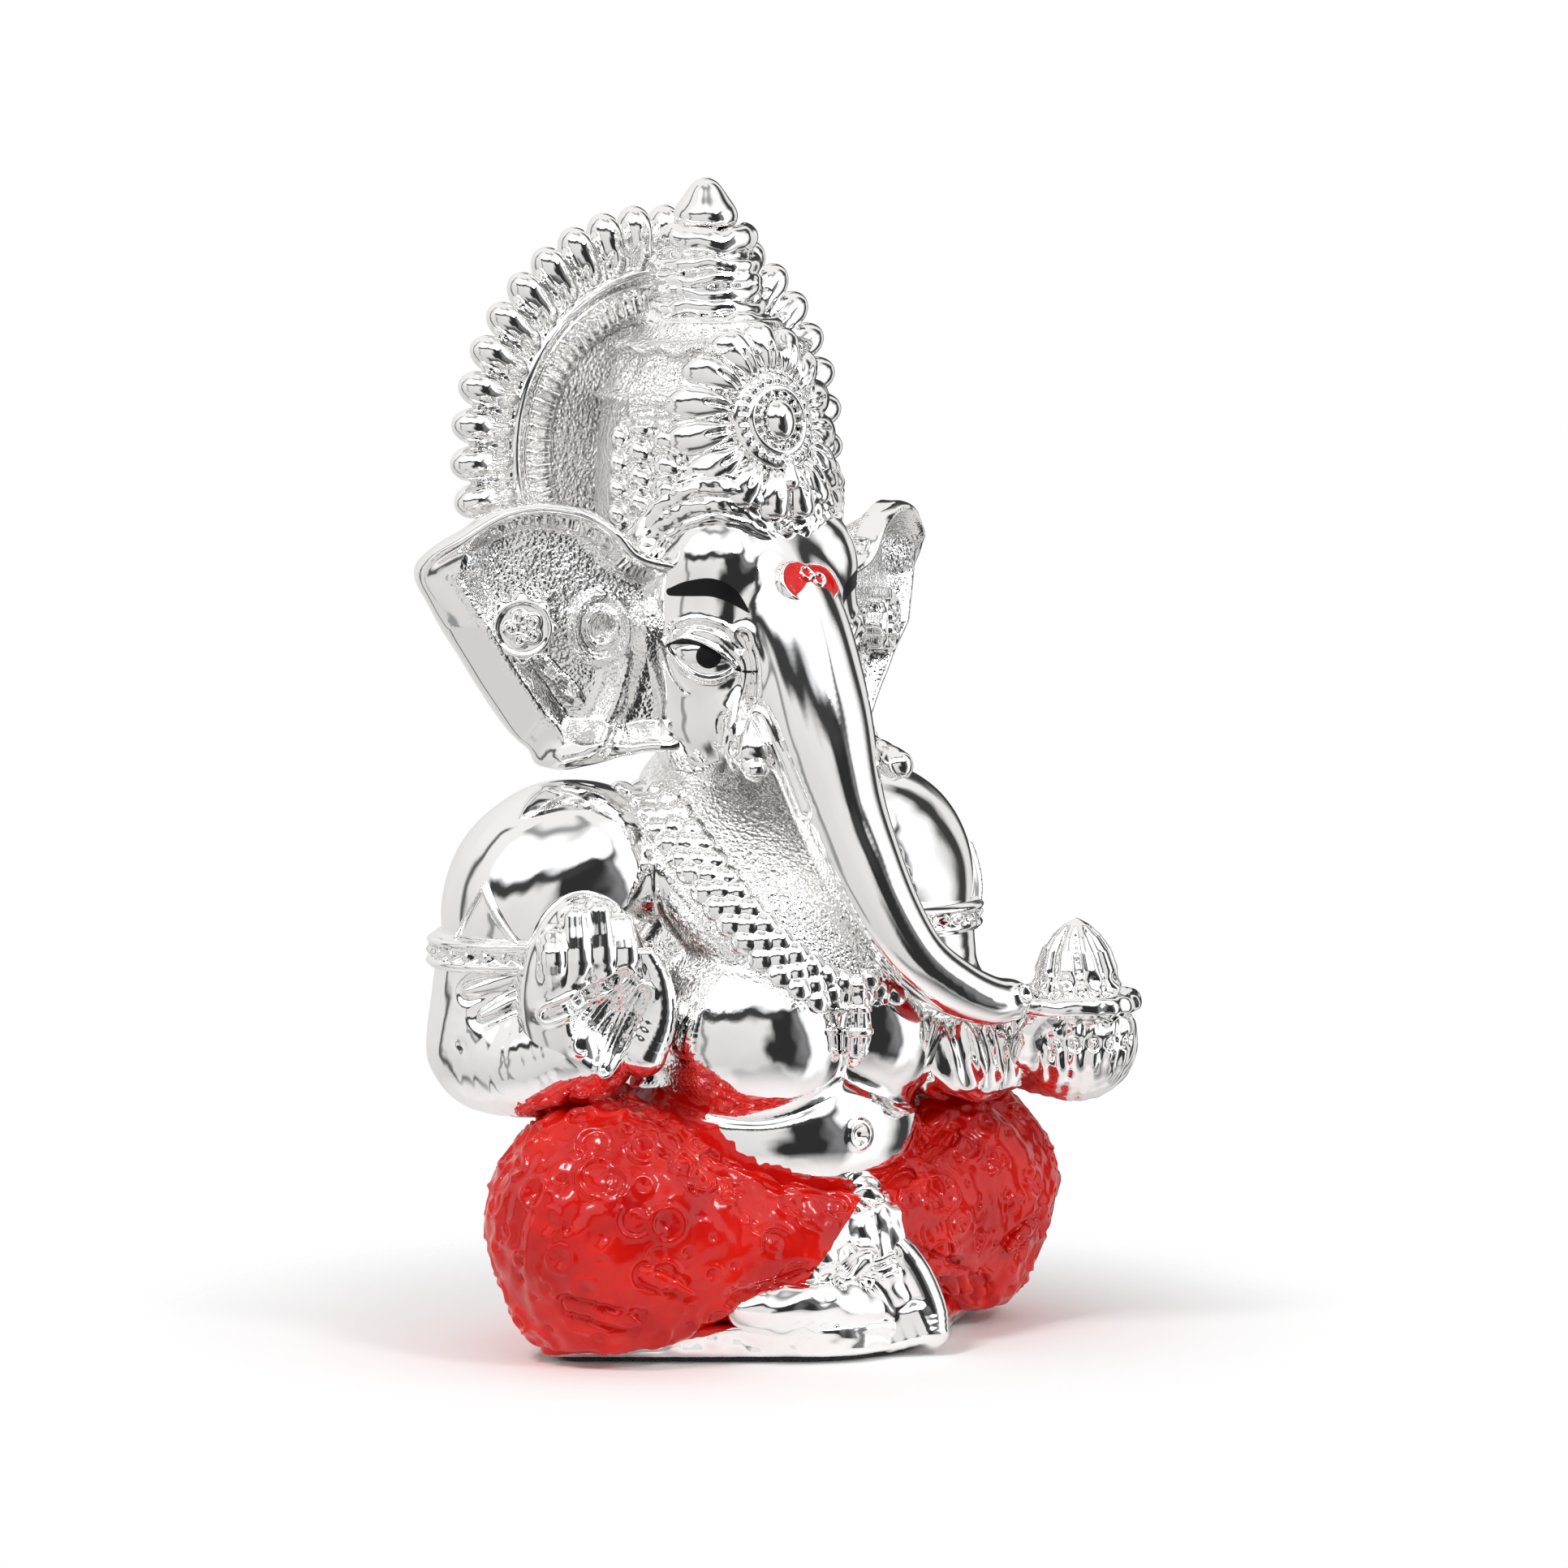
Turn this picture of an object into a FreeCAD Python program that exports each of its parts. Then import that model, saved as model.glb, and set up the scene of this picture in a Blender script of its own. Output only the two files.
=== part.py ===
import FreeCAD, Part
import math
import os
import Sketcher

# A small seated elephant-headed idol: a plated casting, 100 mm tall, with a lacquered
# lower garment. Row frame: +Z up, the figure faces -Y, its own right side is -X, and the
# origin lies on the underside, below the crown. Every piece is a separate solid, split
# where the casting changes form, and each meets its neighbours along a shared surface.

# Driving dimensions in millimetres. A group's keys become the aliases group_key.
# Keys x, y and z are a centre, rx, ry and rz are half widths, and side pieces give
# the distance x of the left one from the middle plane.
DIMENSIONS = {
    "felt": {"thick": 0.5, "inset": 1.4},
    "base": {"thick": 2.7, "side_x": 24.6, "side_y": -5.6, "back_x": 11.5, "back_y": 13.0,
             "toe_x": 4.5, "toe_y": -21.5, "corner": 4.0},
    "plug": {"radius": 6.0, "y": 1.0},
    "core": {"radius": 7.0, "top": 36.0, "y": 1.0, "nose": 3.0},
    "belly": {"y": -5.6, "z": 18.5, "rx": 14.0, "ry": 12.8, "rz": 9.4},
    "hips": {"y": 3.4, "z": 16.0, "rx": 12.6, "ry": 8.6, "rz": 15.0},
    "chest": {"y": 1.2, "z": 32.0, "rx": 17.0, "ry": 12.2, "rz": 17.0},
    "lobe": {"x": 5.2, "y": -7.6, "z": 27.4, "radius": 9.4},
    "bib": {"y": -6.0, "z": 40.6, "rx": 15.4, "ry": 15.4, "rz": 6.2, "tilt": 45.0},
    "shoulder": {"x": 16.0, "y": 2.2, "z": 40.0, "rx": 8.4, "ry": 7.2, "rz": 7.6},
    "knee": {"x": 18.2, "y": -6.4, "z": 11.6, "rx": 10.8, "ry": 10.4, "rz": 10.6},
    "thigh": {"x": 9.5, "y": 5.0, "z": 12.0, "radius": 9.0},
    "shin": {"x": 4.6, "y": -12.6, "z": 8.6, "radius": 6.4},
    "pleat": {"x": 1.6, "y": -17.2, "z": 11.2, "rx": 2.6, "ry": 2.6, "rz": 4.6},
    "right_foot": {"x": -4.0, "y": -16.6, "z": 5.3, "rx": 8.0, "ry": 4.4, "rz": 2.9},
    "left_foot": {"x": 2.4, "y": -19.6, "z": 4.9, "rx": 3.2, "ry": 4.3, "rz": 4.6, "lean": 34.0},
    "ankle": {"x": 0.4, "y": -17.4, "z": 10.0, "radius": 2.9},
    "arm": {"top_x": 20.0, "top_y": 2.8, "top_z": 40.0, "top_r": 6.2,
            "elbow_x": 23.2, "elbow_y": 3.2, "elbow_z": 26.4, "elbow_r": 5.5},
    "right_wrist": {"x": -19.6, "y": -4.6, "z": 25.6, "radius": 4.0},
    "left_wrist": {"x": 22.2, "y": -12.0, "z": 24.8, "radius": 3.8},
    "armlet": {"tube": 1.2, "share": 0.42},
    "right_palm": {"x": -19.2, "y": -6.8, "z": 29.8, "rx": 5.6, "ry": 3.3, "rz": 7.8},
    "right_finger": {"x": -22.5, "y": -7.4, "z": 33.0, "pitch": 2.1, "long": 5.2, "arch": 0.9,
                     "radius": 1.5},
    "right_thumb": {"x": -13.8, "y": -8.6, "z": 31.0, "rx": 1.6, "ry": 1.8, "rz": 3.8},
    "left_palm": {"x": 21.0, "y": -19.0, "z": 25.0, "rx": 5.6, "ry": 6.7, "rz": 4.2},
    "left_finger": {"x": 17.5, "y": -24.1, "z": 23.0, "pitch": 2.3, "long": 4.4, "arch": 0.7,
                    "radius": 1.5},
    "dish": {"x": 21.0, "y": -20.4, "z": 29.2, "radius": 6.7, "thick": 1.5, "foot": 4.4},
    "modak": {"height": 6.6, "radius": 4.1},
    "head": {"y": -0.2, "z": 62.4, "rx": 11.6, "ry": 11.4, "rz": 11.6},
    "jaw": {"y": -4.4, "z": 54.6, "rx": 8.8, "ry": 8.2, "rz": 8.8},
    "ear": {"root_x": 9.6, "root_y": -2.2, "sweep": 28.0, "thick": 2.0, "round": 1.6},
    "ear_flower": {"along": 9.6, "z": 62.4, "radius": 3.2, "thick": 1.0},
    "eye": {"x": 8.6, "y": -7.6, "z": 60.3, "rx": 1.9, "ry": 2.5, "rz": 1.9},
    "right_tusk": {"x": -6.0, "y": -10.8, "z": 51.2, "length": 3.2, "root": 1.5, "tip": 0.9},
    "left_tusk": {"x": 6.4, "y": -10.6, "z": 51.6, "length": 6.2, "root": 1.6, "tip": 1.0},
    "tilak": {"y": -11.3, "z": 65.9, "rx": 2.7, "ry": 0.9, "rz": 2.5},
    "necklace": {"y": -8.2, "z": 42.8, "ring": 14.2, "tube": 1.7, "tilt": 45.0},
    "pendant": {"x": -0.8, "y": -16.6, "z": 27.4, "rx": 1.6, "ry": 1.7, "rz": 3.0},
    "band": {"y": 0.4, "z": 70.4, "ring": 9.9, "tube": 2.2, "tilt": 12.0},
    "crown": {"y": 2.2, "foot": 69.0, "foot_r": 10.2, "waist": 78.6, "waist_r": 9.2,
              "neck": 86.4, "neck_r": 5.6},
    "tier": {"count": 4, "pitch": 2.1, "radius": 4.7, "root": 3.7, "y": 3.4},
    "finial": {"height": 5.2, "radius": 3.1, "rise": 2.2, "shoulder": 2.8, "tip": 0.5},
    "crest": {"y": -5.4, "z": 79.2, "radius": 5.0, "thick": 2.4, "lean": 12.0, "boss": 1.9},
    "crest_petal": {"count": 15, "ring": 6.3, "long": 2.8, "wide": 1.5, "deep": 1.5},
    "halo": {"y": 11.4, "z": 76.2, "plate_r": 15.6, "thick": 2.6, "rim_r": 15.0, "rim_tube": 0.8},
    "petal": {"count": 24, "step": 9.7, "ring": 17.9, "long": 3.4, "wide": 1.8, "deep": 1.9},
}

# The ear's outline in its own plane: distance out from the root, and height.
EAR_OUTLINE = [(0.0, 66.6), (7.2, 72.4), (13.6, 71.0), (19.8, 66.6), (18.6, 63.2),
               (12.4, 55.4), (8.0, 48.4), (3.4, 47.8), (0.0, 52.0)]

# The trunk's centre line from the brow to the tip: x, y, z and radius at each section.
TRUNK_SECTIONS = [(0.0, -6.8, 62.6, 5.2), (0.0, -9.4, 58.6, 5.2), (0.1, -12.2, 53.2, 4.7),
                  (0.6, -15.4, 46.4, 4.0), (2.0, -18.4, 39.6, 3.3), (4.6, -20.4, 34.0, 2.9),
                  (8.8, -21.6, 30.9, 2.6), (12.6, -22.2, 30.2, 2.2)]

FINGERS = 4  # on each hand, besides the thumb
TOUCHING = 1e-6  # below this, two directions count as the same
HEADROOM = 60.0  # half size of a cutting block, larger than the figure's half width
TUSK_DROP = 0.25  # how far a tusk falls for each unit that it runs forward
ACROSS = FreeCAD.Vector(1, 0, 0)
FORWARD = FreeCAD.Vector(0, -1, 0)
UP = FreeCAD.Vector(0, 0, 1)

doc = FreeCAD.newDocument("idol")
sheet = doc.addObject("Spreadsheet::Sheet", "Sheet")
subparts = []


def write_sheet():
    """Puts every driving dimension in the sheet, one row each, with its alias."""
    rows = [(f"{group}_{key}", value) for group in DIMENSIONS for key, value in DIMENSIONS[group].items()]
    for number, (x, z) in enumerate(EAR_OUTLINE):
        rows += [(f"ear_corner{number}_out", x), (f"ear_corner{number}_up", z)]
    for number, section in enumerate(TRUNK_SECTIONS):
        keys = [f"trunk_ring{number}_{key}" for key in ("x", "y", "z", "radius")]
        rows += list(zip(keys, section))
    for row, (alias, value) in enumerate(rows, start=1):
        sheet.set(f"A{row}", alias)
        sheet.set(f"B{row}", str(value))
        sheet.setAlias(f"B{row}", alias)
    doc.recompute()


def size(alias):
    """A driving dimension's number, read back from the sheet."""
    return float(sheet.get(alias))


def bind(feature, **expressions):
    """Binds a feature's properties to the sheet; x, y and z are its position."""
    for name, expression in expressions.items():
        path = f"Placement.Base.{name}" if name in ("x", "y", "z") else name
        feature.setExpression(path, expression)
    return feature


def signed(side, alias):
    """An expression for a distance on the left (side 1) or right (side -1)."""
    return f"{side} * Sheet.{alias}"


def finish(feature, label):
    """Names a finished sub-part, so that it is checked and written out."""
    feature.Label = label
    subparts.append(feature)
    return feature


def ellipsoid(name, group, side=None, rotation=None):
    """An ellipsoid from a group's centre and half widths; side mirrors its x."""
    shape = doc.addObject("Part::Ellipsoid", name)
    shape.Angle1, shape.Angle2, shape.Angle3 = -90, 90, 360
    if rotation:
        shape.Placement.Rotation = rotation
    keys = DIMENSIONS[group]
    along_x = "0" if "x" not in keys else signed(side or 1, f"{group}_x")
    widths = [f"Sheet.{group}_{key if key in keys else 'radius'}" for key in ("rx", "ry", "rz")]
    return bind(shape, x=along_x, y=f"Sheet.{group}_y", z=f"Sheet.{group}_z",
                Radius2=widths[0], Radius3=widths[1], Radius1=widths[2])


def ball(name, centre, radius):
    """A sphere; centre is three expressions and radius is one."""
    shape = doc.addObject("Part::Sphere", name)
    return bind(shape, x=centre[0], y=centre[1], z=centre[2], Radius=radius)


def fused(name, *shapes):
    """One solid from several."""
    joined = doc.addObject("Part::MultiFuse", name)
    joined.Shapes = list(shapes)
    return joined


def cut(name, base, *tools):
    """base less every tool, so that neighbours share a surface and never overlap."""
    left = base
    for number, tool in enumerate(tools):
        step = doc.addObject("Part::Cut", f"{name}_cut{number}")
        step.Base, step.Tool = left, tool
        step.Refine = False  # merging the cut faces can keep the wrong side of a tilted ring
        left = step
    return left


def limb(name, start, end, start_radius, end_radius):
    """A tapered limb with round ends; each end is three expressions, each radius one."""
    cone = doc.addObject("Part::Cone", f"{name}_taper")
    cone.Placement.Rotation = FreeCAD.Rotation(UP, at(end) - at(start))
    terms = " + ".join(f"({b} - ({a})) ^ 2" for a, b in zip(start, end))
    bind(cone, x=start[0], y=start[1], z=start[2], Radius1=start_radius, Radius2=end_radius,
         Height=f"sqrt({terms})")
    ends = [ball(f"{name}_start", start, start_radius), ball(f"{name}_end", end, end_radius)]
    return fused(name, cone, *ends)


def at(terms):
    """The point that three expressions stand for."""
    return FreeCAD.Vector(*[evaluate(term) for term in terms])


def evaluate(expression):
    """The number behind an expression of numbers and cells that are added or subtracted."""
    total = 0.0
    for term in expression.replace(" - ", " + -1 * ").split(" + "):
        value = 1.0
        for factor in term.split("*"):
            name = factor.strip()
            value *= size(name.removeprefix("Sheet.")) if name.startswith("Sheet.") else float(name)
        total += value
    return total


def origin_plane(body, role):
    """One of a body's own origin planes, such as XY_Plane."""
    return next(plane for plane in body.Origin.OriginFeatures if plane.Role == role)


def sketch_on(body, name, role="XY_Plane", offset=None):
    """A sketch on one of the body's origin planes."""
    sketch = body.newObject("Sketcher::SketchObject", name)
    sketch.AttachmentSupport = [(origin_plane(body, role), "")]
    sketch.MapMode = "FlatFace"
    if offset:
        sketch.AttachmentOffset = offset
    return sketch


def hold_point(sketch, geometry, end, across, up):
    """Fixes a sketch point at two expressions measured from the sketch's origin."""
    for kind, expression in (("DistanceX", across), ("DistanceY", up)):
        index = sketch.addConstraint(Sketcher.Constraint(kind, -1, 1, geometry, end, evaluate(expression)))
        sketch.setExpression(f"Constraints[{index}]", expression)


def polygon_sketch(body, name, corners, role="XY_Plane"):
    """A closed outline of straight lines; corners are pairs of expressions."""
    sketch = sketch_on(body, name, role)
    points = [FreeCAD.Vector(evaluate(a), evaluate(b), 0) for a, b in corners]
    for number, point in enumerate(points):
        sketch.addGeometry(Part.LineSegment(point, points[(number + 1) % len(points)]), False)
    for number in range(len(points)):
        sketch.addConstraint(Sketcher.Constraint("Coincident", number, 2, (number + 1) % len(points), 1))
        hold_point(sketch, number, 1, *corners[number])
    return sketch


def circle_sketch(body, name, radius, role="XY_Plane", offset=None):
    """A circle about the sketch's origin; radius is an expression."""
    sketch = sketch_on(body, name, role, offset)
    sketch.addGeometry(Part.Circle(FreeCAD.Vector(0, 0, 0), UP, evaluate(radius)), False)
    sketch.addConstraint(Sketcher.Constraint("Coincident", 0, 3, -1, 1))
    index = sketch.addConstraint(Sketcher.Constraint("Radius", 0, evaluate(radius)))
    sketch.setExpression(f"Constraints[{index}]", radius)
    return sketch


def pad(body, sketch, length, midplane=False):
    """Thickens a sketch by an expression."""
    feature = body.newObject("PartDesign::Pad", f"{body.Name}_pad")
    feature.Profile = sketch
    feature.setExpression("Length", length)
    if midplane:
        feature.SideType = "Symmetric"
    doc.recompute()
    return feature


def round_edges(body, feature, radius, chosen):
    """Fillets the edges of a feature that chosen picks."""
    names = [f"Edge{i}" for i, edge in enumerate(feature.Shape.Edges, start=1) if chosen(edge)]
    fillet = body.newObject("PartDesign::Fillet", f"{body.Name}_fillet")
    fillet.Base = (feature, names)
    fillet.setExpression("Radius", radius)
    doc.recompute()
    return fillet


def is_upright(edge):
    """True for a straight edge along Z."""
    ends = [vertex.Point for vertex in edge.Vertexes]
    return len(ends) == 2 and (ends[0] - ends[1]).cross(UP).Length < TOUCHING


def new_body(name, **places):
    """A PartDesign body placed by expressions for x, y and z."""
    return bind(doc.addObject("PartDesign::Body", name), **places)


def revolved(name, profile, **places):
    """A turned solid about +Z from radius and height expressions, closed on the axis."""
    body = new_body(name, **places)
    sketch = polygon_sketch(body, f"{name}_profile", profile, "XZ_Plane")
    feature = body.newObject("PartDesign::Revolution", f"{name}_turn")
    feature.Profile = sketch
    feature.ReferenceAxis = (sketch, ["V_Axis"])
    feature.Angle = 360
    doc.recompute()
    return body


def base_outline(inset):
    """The footprint's corners: a wide back, two knees and a narrow front at the toes."""
    shrink = f" - {inset}" if inset else ""
    grow = f" + {inset}" if inset else ""
    right = [("base_side_x", "base_side_y"), ("base_back_x", "base_back_y")]
    ring = [(f"Sheet.base_toe_x{shrink}", f"Sheet.base_toe_y{grow}")]
    ring += [(f"Sheet.{x}{shrink}", f"Sheet.{y}{grow if 'side' in y else shrink}") for x, y in right]
    mirrored = [(f"-1 * {x.split(' ')[0]}{grow}", y) for x, y in reversed(ring)]
    return ring + mirrored


def base_pieces():
    """The pad under the figure, the plate it stands on, the pour plug and the filler."""
    under = new_body("felt_body")
    outline = polygon_sketch(under, "felt_outline", base_outline("Sheet.felt_inset"))
    flat = pad(under, outline, "Sheet.felt_thick")
    round_edges(under, flat, "Sheet.base_corner - Sheet.felt_inset", is_upright)
    finish(under, "base_felt")

    plate = new_body("base_body", z="Sheet.felt_thick")
    flat = pad(plate, polygon_sketch(plate, "base_outline", base_outline("")), "Sheet.base_thick")
    round_edges(plate, flat, "Sheet.base_corner", is_upright)
    plug = new_body("plug_body", y="Sheet.plug_y", z="Sheet.felt_thick")
    pad(plug, circle_sketch(plug, "plug_outline", "Sheet.plug_radius"), "Sheet.base_thick")
    finish(plug, "pour_plug")
    finish(cut("base_plate", plate, plug), "base_plate")

    floor = "Sheet.felt_thick + Sheet.base_thick"
    profile = [("0", floor), ("Sheet.core_radius", floor),
               ("Sheet.core_radius - Sheet.core_nose", "Sheet.core_top"), ("0", "Sheet.core_top")]
    core = revolved("core_body", profile, y="Sheet.core_y")
    return finish(core, "filler_core")


def floor_block():
    """Everything below the top of the base plate, used to trim what stands on it."""
    block = doc.addObject("Part::Box", "below_base")
    block.Length = block.Width = 2 * HEADROOM
    return bind(block, x=f"-{HEADROOM}", y=f"-{HEADROOM}", z=f"-{HEADROOM}",
                Height=f"{HEADROOM} + Sheet.felt_thick + Sheet.base_thick")


def torso_piece(core, below):
    """Belly, seat, chest, sloping bib, two breast lobes and shoulder caps as one casting."""
    slope = FreeCAD.Rotation(ACROSS, size("bib_tilt"))
    mass = fused("torso_mass", ellipsoid("belly", "belly"), ellipsoid("chest", "chest"),
                 ellipsoid("seat", "hips"), ellipsoid("bib", "bib", rotation=slope),
                 *[ellipsoid(f"lobe{i}", "lobe", side) for i, side in enumerate((-1, 1))],
                 *[ellipsoid(f"cap{i}", "shoulder", side) for i, side in enumerate((-1, 1))])
    return finish(cut("torso", mass, below, core), "torso")


def leg_pieces(torso, core, below):
    """Both folded legs in their garment, the two feet and the pleat above them."""
    legs = []
    for side, name in ((-1, "right_leg"), (1, "left_leg")):
        place = {part: [signed(side, f"{part}_x"), f"Sheet.{part}_y", f"Sheet.{part}_z"]
                 for part in ("knee", "thigh", "shin")}
        thigh, shin = [limb(f"{name}_{part}", place[part], place["knee"],
                            f"Sheet.{part}_radius", f"Sheet.{part}_radius") for part in ("thigh", "shin")]
        mass = fused(f"{name}_mass", ellipsoid(f"{name}_knee", "knee", side), thigh, shin)
        legs.append(finish(cut(name, mass, below, core, torso, *legs), f"{name}_garment"))

    sole = ellipsoid("right_sole", "right_foot")
    right = finish(cut("right_foot", sole, below, *legs), "right_foot")
    lean = FreeCAD.Rotation(ACROSS, size("left_foot_lean"))
    toes = ellipsoid("left_toes", "left_foot", rotation=lean)
    joints = [[f"Sheet.{part}_{key}" for key in ("x", "y", "z")] for part in ("ankle", "left_foot")]
    shank = limb("left_shank", *joints, "Sheet.ankle_radius", "Sheet.ankle_radius")
    left = cut("left_foot", fused("left_foot_mass", toes, shank), below, torso, right, *legs)
    finish(left, "left_foot")
    pleat = cut("pleat", ellipsoid("pleat_mass", "pleat"), below, torso, left, right, *legs)
    finish(pleat, "front_pleat")
    return legs


def arm_place(side, joint):
    """Expressions for the top or elbow of one upper arm."""
    return [signed(side, f"arm_{joint}_x"), f"Sheet.arm_{joint}_y", f"Sheet.arm_{joint}_z"]


def arm_pieces(torso, legs):
    """Upper arms, forearms and armlets of both sides; returns the forearms."""
    forearms = []
    for side, name, wrist in ((-1, "right", "right_wrist"), (1, "left", "left_wrist")):
        top, elbow = arm_place(side, "top"), arm_place(side, "elbow")
        upper = limb(f"{name}_upper_mass", top, elbow, "Sheet.arm_top_r", "Sheet.arm_elbow_r")
        hand_end = [f"Sheet.{wrist}_x", f"Sheet.{wrist}_y", f"Sheet.{wrist}_z"]
        lower = limb(f"{name}_lower_mass", elbow, hand_end, "Sheet.arm_elbow_r", f"Sheet.{wrist}_radius")
        arm = finish(cut(f"{name}_upper", upper, torso, *legs), f"{name}_upper_arm")
        fore = finish(cut(f"{name}_lower", lower, arm, torso, *legs), f"{name}_forearm")

        ring = doc.addObject("Part::Torus", f"{name}_armlet_ring")
        ring.Placement.Rotation = FreeCAD.Rotation(UP, at(elbow) - at(top))
        share = "Sheet.armlet_share"
        where = [f"{a} + ({b} - ({a})) * {share}" for a, b in zip(top, elbow)]
        bind(ring, x=where[0], y=where[1], z=where[2], Radius2="Sheet.armlet_tube",
             Radius1=f"Sheet.arm_top_r + (Sheet.arm_elbow_r - Sheet.arm_top_r) * {share}")
        finish(cut(f"{name}_armlet", ring, arm, torso), f"{name}_armlet")
        forearms.append(fore)
    return forearms


def finger_row(group):
    """Four upright fingers side by side, the middle ones standing higher than the outer ones."""
    fingers = []
    for number in range(FINGERS):
        raised = f" + Sheet.{group}_arch" if 0 < number < FINGERS - 1 else ""
        across = f"Sheet.{group}_x + {number} * Sheet.{group}_pitch"
        foot = [across, f"Sheet.{group}_y", f"Sheet.{group}_z"]
        tip = [across, f"Sheet.{group}_y", f"Sheet.{group}_z + Sheet.{group}_long{raised}"]
        width = f"Sheet.{group}_radius"
        fingers.append(limb(f"{group}{number}", foot, tip, width, width))
    return fingers


def hand_pieces(forearms, torso, legs):
    """The raised right hand, and the left hand with its dish and sweet."""
    right = fused("right_hand_mass", ellipsoid("right_palm", "right_palm"),
                  *finger_row("right_finger"), ellipsoid("right_thumb", "right_thumb"))
    finish(cut("right_hand", right, forearms[0], torso, *legs), "right_hand")

    dish = revolved("dish_body", [("0", "0"), ("Sheet.dish_foot", "0"),
                                  ("Sheet.dish_radius", "Sheet.dish_thick"), ("0", "Sheet.dish_thick")],
                    x="Sheet.dish_x", y="Sheet.dish_y", z="Sheet.dish_z")
    finish(dish, "sweet_dish")
    left = fused("left_hand_mass", ellipsoid("left_palm", "left_palm"), *finger_row("left_finger"))
    finish(cut("left_hand", left, dish, forearms[1]), "left_hand")

    dome = doc.addObject("Part::Ellipsoid", "modak_dome")
    dome.Angle1, dome.Angle2, dome.Angle3 = 0, 90, 360
    bind(dome, x="Sheet.dish_x", y="Sheet.dish_y", z="Sheet.dish_z + Sheet.dish_thick",
         Radius1="Sheet.modak_height", Radius2="Sheet.modak_radius", Radius3="Sheet.modak_radius")
    finish(dome, "modak_sweet")
    return dish


def trunk_piece(head, torso, dish):
    """A loft down the brow, over the belly and across to the dish."""
    body = new_body("trunk_body")
    centres = [FreeCAD.Vector(*[size(f"trunk_ring{n}_{key}") for key in ("x", "y", "z")])
               for n in range(len(TRUNK_SECTIONS))]
    rings = []
    for number, centre in enumerate(centres):
        before, after = centres[max(number - 1, 0)], centres[min(number + 1, len(centres) - 1)]
        name = f"trunk_ring{number}"
        place = FreeCAD.Placement(centre, FreeCAD.Rotation(UP, after - before))
        rings.append(circle_sketch(body, name, f"Sheet.{name}_radius", offset=place))
    loft = body.newObject("PartDesign::AdditiveLoft", "trunk_loft")
    loft.Profile = rings[0]
    loft.Sections = rings[1:]
    doc.recompute()
    return finish(cut("trunk", body, head, torso, dish), "trunk")


def head_pieces(torso):
    """The skull with its cheeks, and what is set on the face."""
    mass = fused("head_mass", ellipsoid("skull", "head"), ellipsoid("cheeks", "jaw"))
    head = finish(cut("head", mass, torso), "head")
    for side, name in ((-1, "right_eye"), (1, "left_eye")):
        finish(cut(name, ellipsoid(f"{name}_ball", "eye", side), head), name)
    return head


def tusk_pieces(head, trunk, torso):
    """The broken right tusk and the whole left one, both pointing forward."""
    for name in ("right_tusk", "left_tusk"):
        cone = doc.addObject("Part::Cone", f"{name}_cone")
        cone.Placement.Rotation = FreeCAD.Rotation(UP, FORWARD - UP * TUSK_DROP)
        bind(cone, x=f"Sheet.{name}_x", y=f"Sheet.{name}_y", z=f"Sheet.{name}_z",
             Radius1=f"Sheet.{name}_root", Radius2=f"Sheet.{name}_tip", Height=f"Sheet.{name}_length")
        finish(cut(name, cone, head, trunk, torso), name)


def ear_pieces(head, torso):
    """Two swept-back ears, each with a flower ornament on its front; returns the ears."""
    ears = []
    for side, name in ((-1, "right_ear"), (1, "left_ear")):
        body = new_body(f"{name}_body")
        corners = [(signed(side, f"ear_corner{number}_out"), f"Sheet.ear_corner{number}_up")
                   for number in range(len(EAR_OUTLINE))]
        outline = polygon_sketch(body, f"{name}_outline", corners, "XZ_Plane")
        leaf = pad(body, outline, "Sheet.ear_thick", midplane=True)
        round_edges(body, leaf, "Sheet.ear_round", is_across)
        sweep = FreeCAD.Rotation(UP, side * size("ear_sweep"))
        body.Placement.Rotation = sweep
        bind(body, x=signed(side, "ear_root_x"), y="Sheet.ear_root_y")
        ear = finish(cut(name, body, head, torso), name)

        flower = doc.addObject("Part::Cylinder", f"{name}_flower_disc")
        root = FreeCAD.Vector(side * size("ear_root_x"), size("ear_root_y"), size("ear_flower_z"))
        out = sweep.multVec(FreeCAD.Vector(side * size("ear_flower_along"), -size("ear_thick") / 2, 0))
        flower.Placement = FreeCAD.Placement(root + out, sweep.multiply(FreeCAD.Rotation(ACROSS, 90)))
        bind(flower, Radius="Sheet.ear_flower_radius", Height="Sheet.ear_flower_thick")
        finish(cut(f"{name}_flower", flower, ear), f"{name}_flower")
        ears.append(ear)
    return ears


def is_across(edge):
    """True for a straight edge along Y, through a leaf's thickness."""
    ends = [vertex.Point for vertex in edge.Vertexes]
    return len(ends) == 2 and (ends[0] - ends[1]).cross(FORWARD).Length < TOUCHING


def necklace_pieces(torso, head, trunk, ears):
    """The bead band around the neck and its hanging pendant."""
    band = doc.addObject("Part::Torus", "necklace_ring")
    band.Placement.Rotation = FreeCAD.Rotation(ACROSS, size("necklace_tilt"))
    bind(band, y="Sheet.necklace_y", z="Sheet.necklace_z",
         Radius1="Sheet.necklace_ring", Radius2="Sheet.necklace_tube")
    necklace = finish(cut("necklace", band, torso, head, trunk, *ears), "bead_necklace")
    pendant = cut("pendant", ellipsoid("pendant_drop", "pendant"), torso, trunk, necklace)
    finish(pendant, "necklace_pendant")


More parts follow.
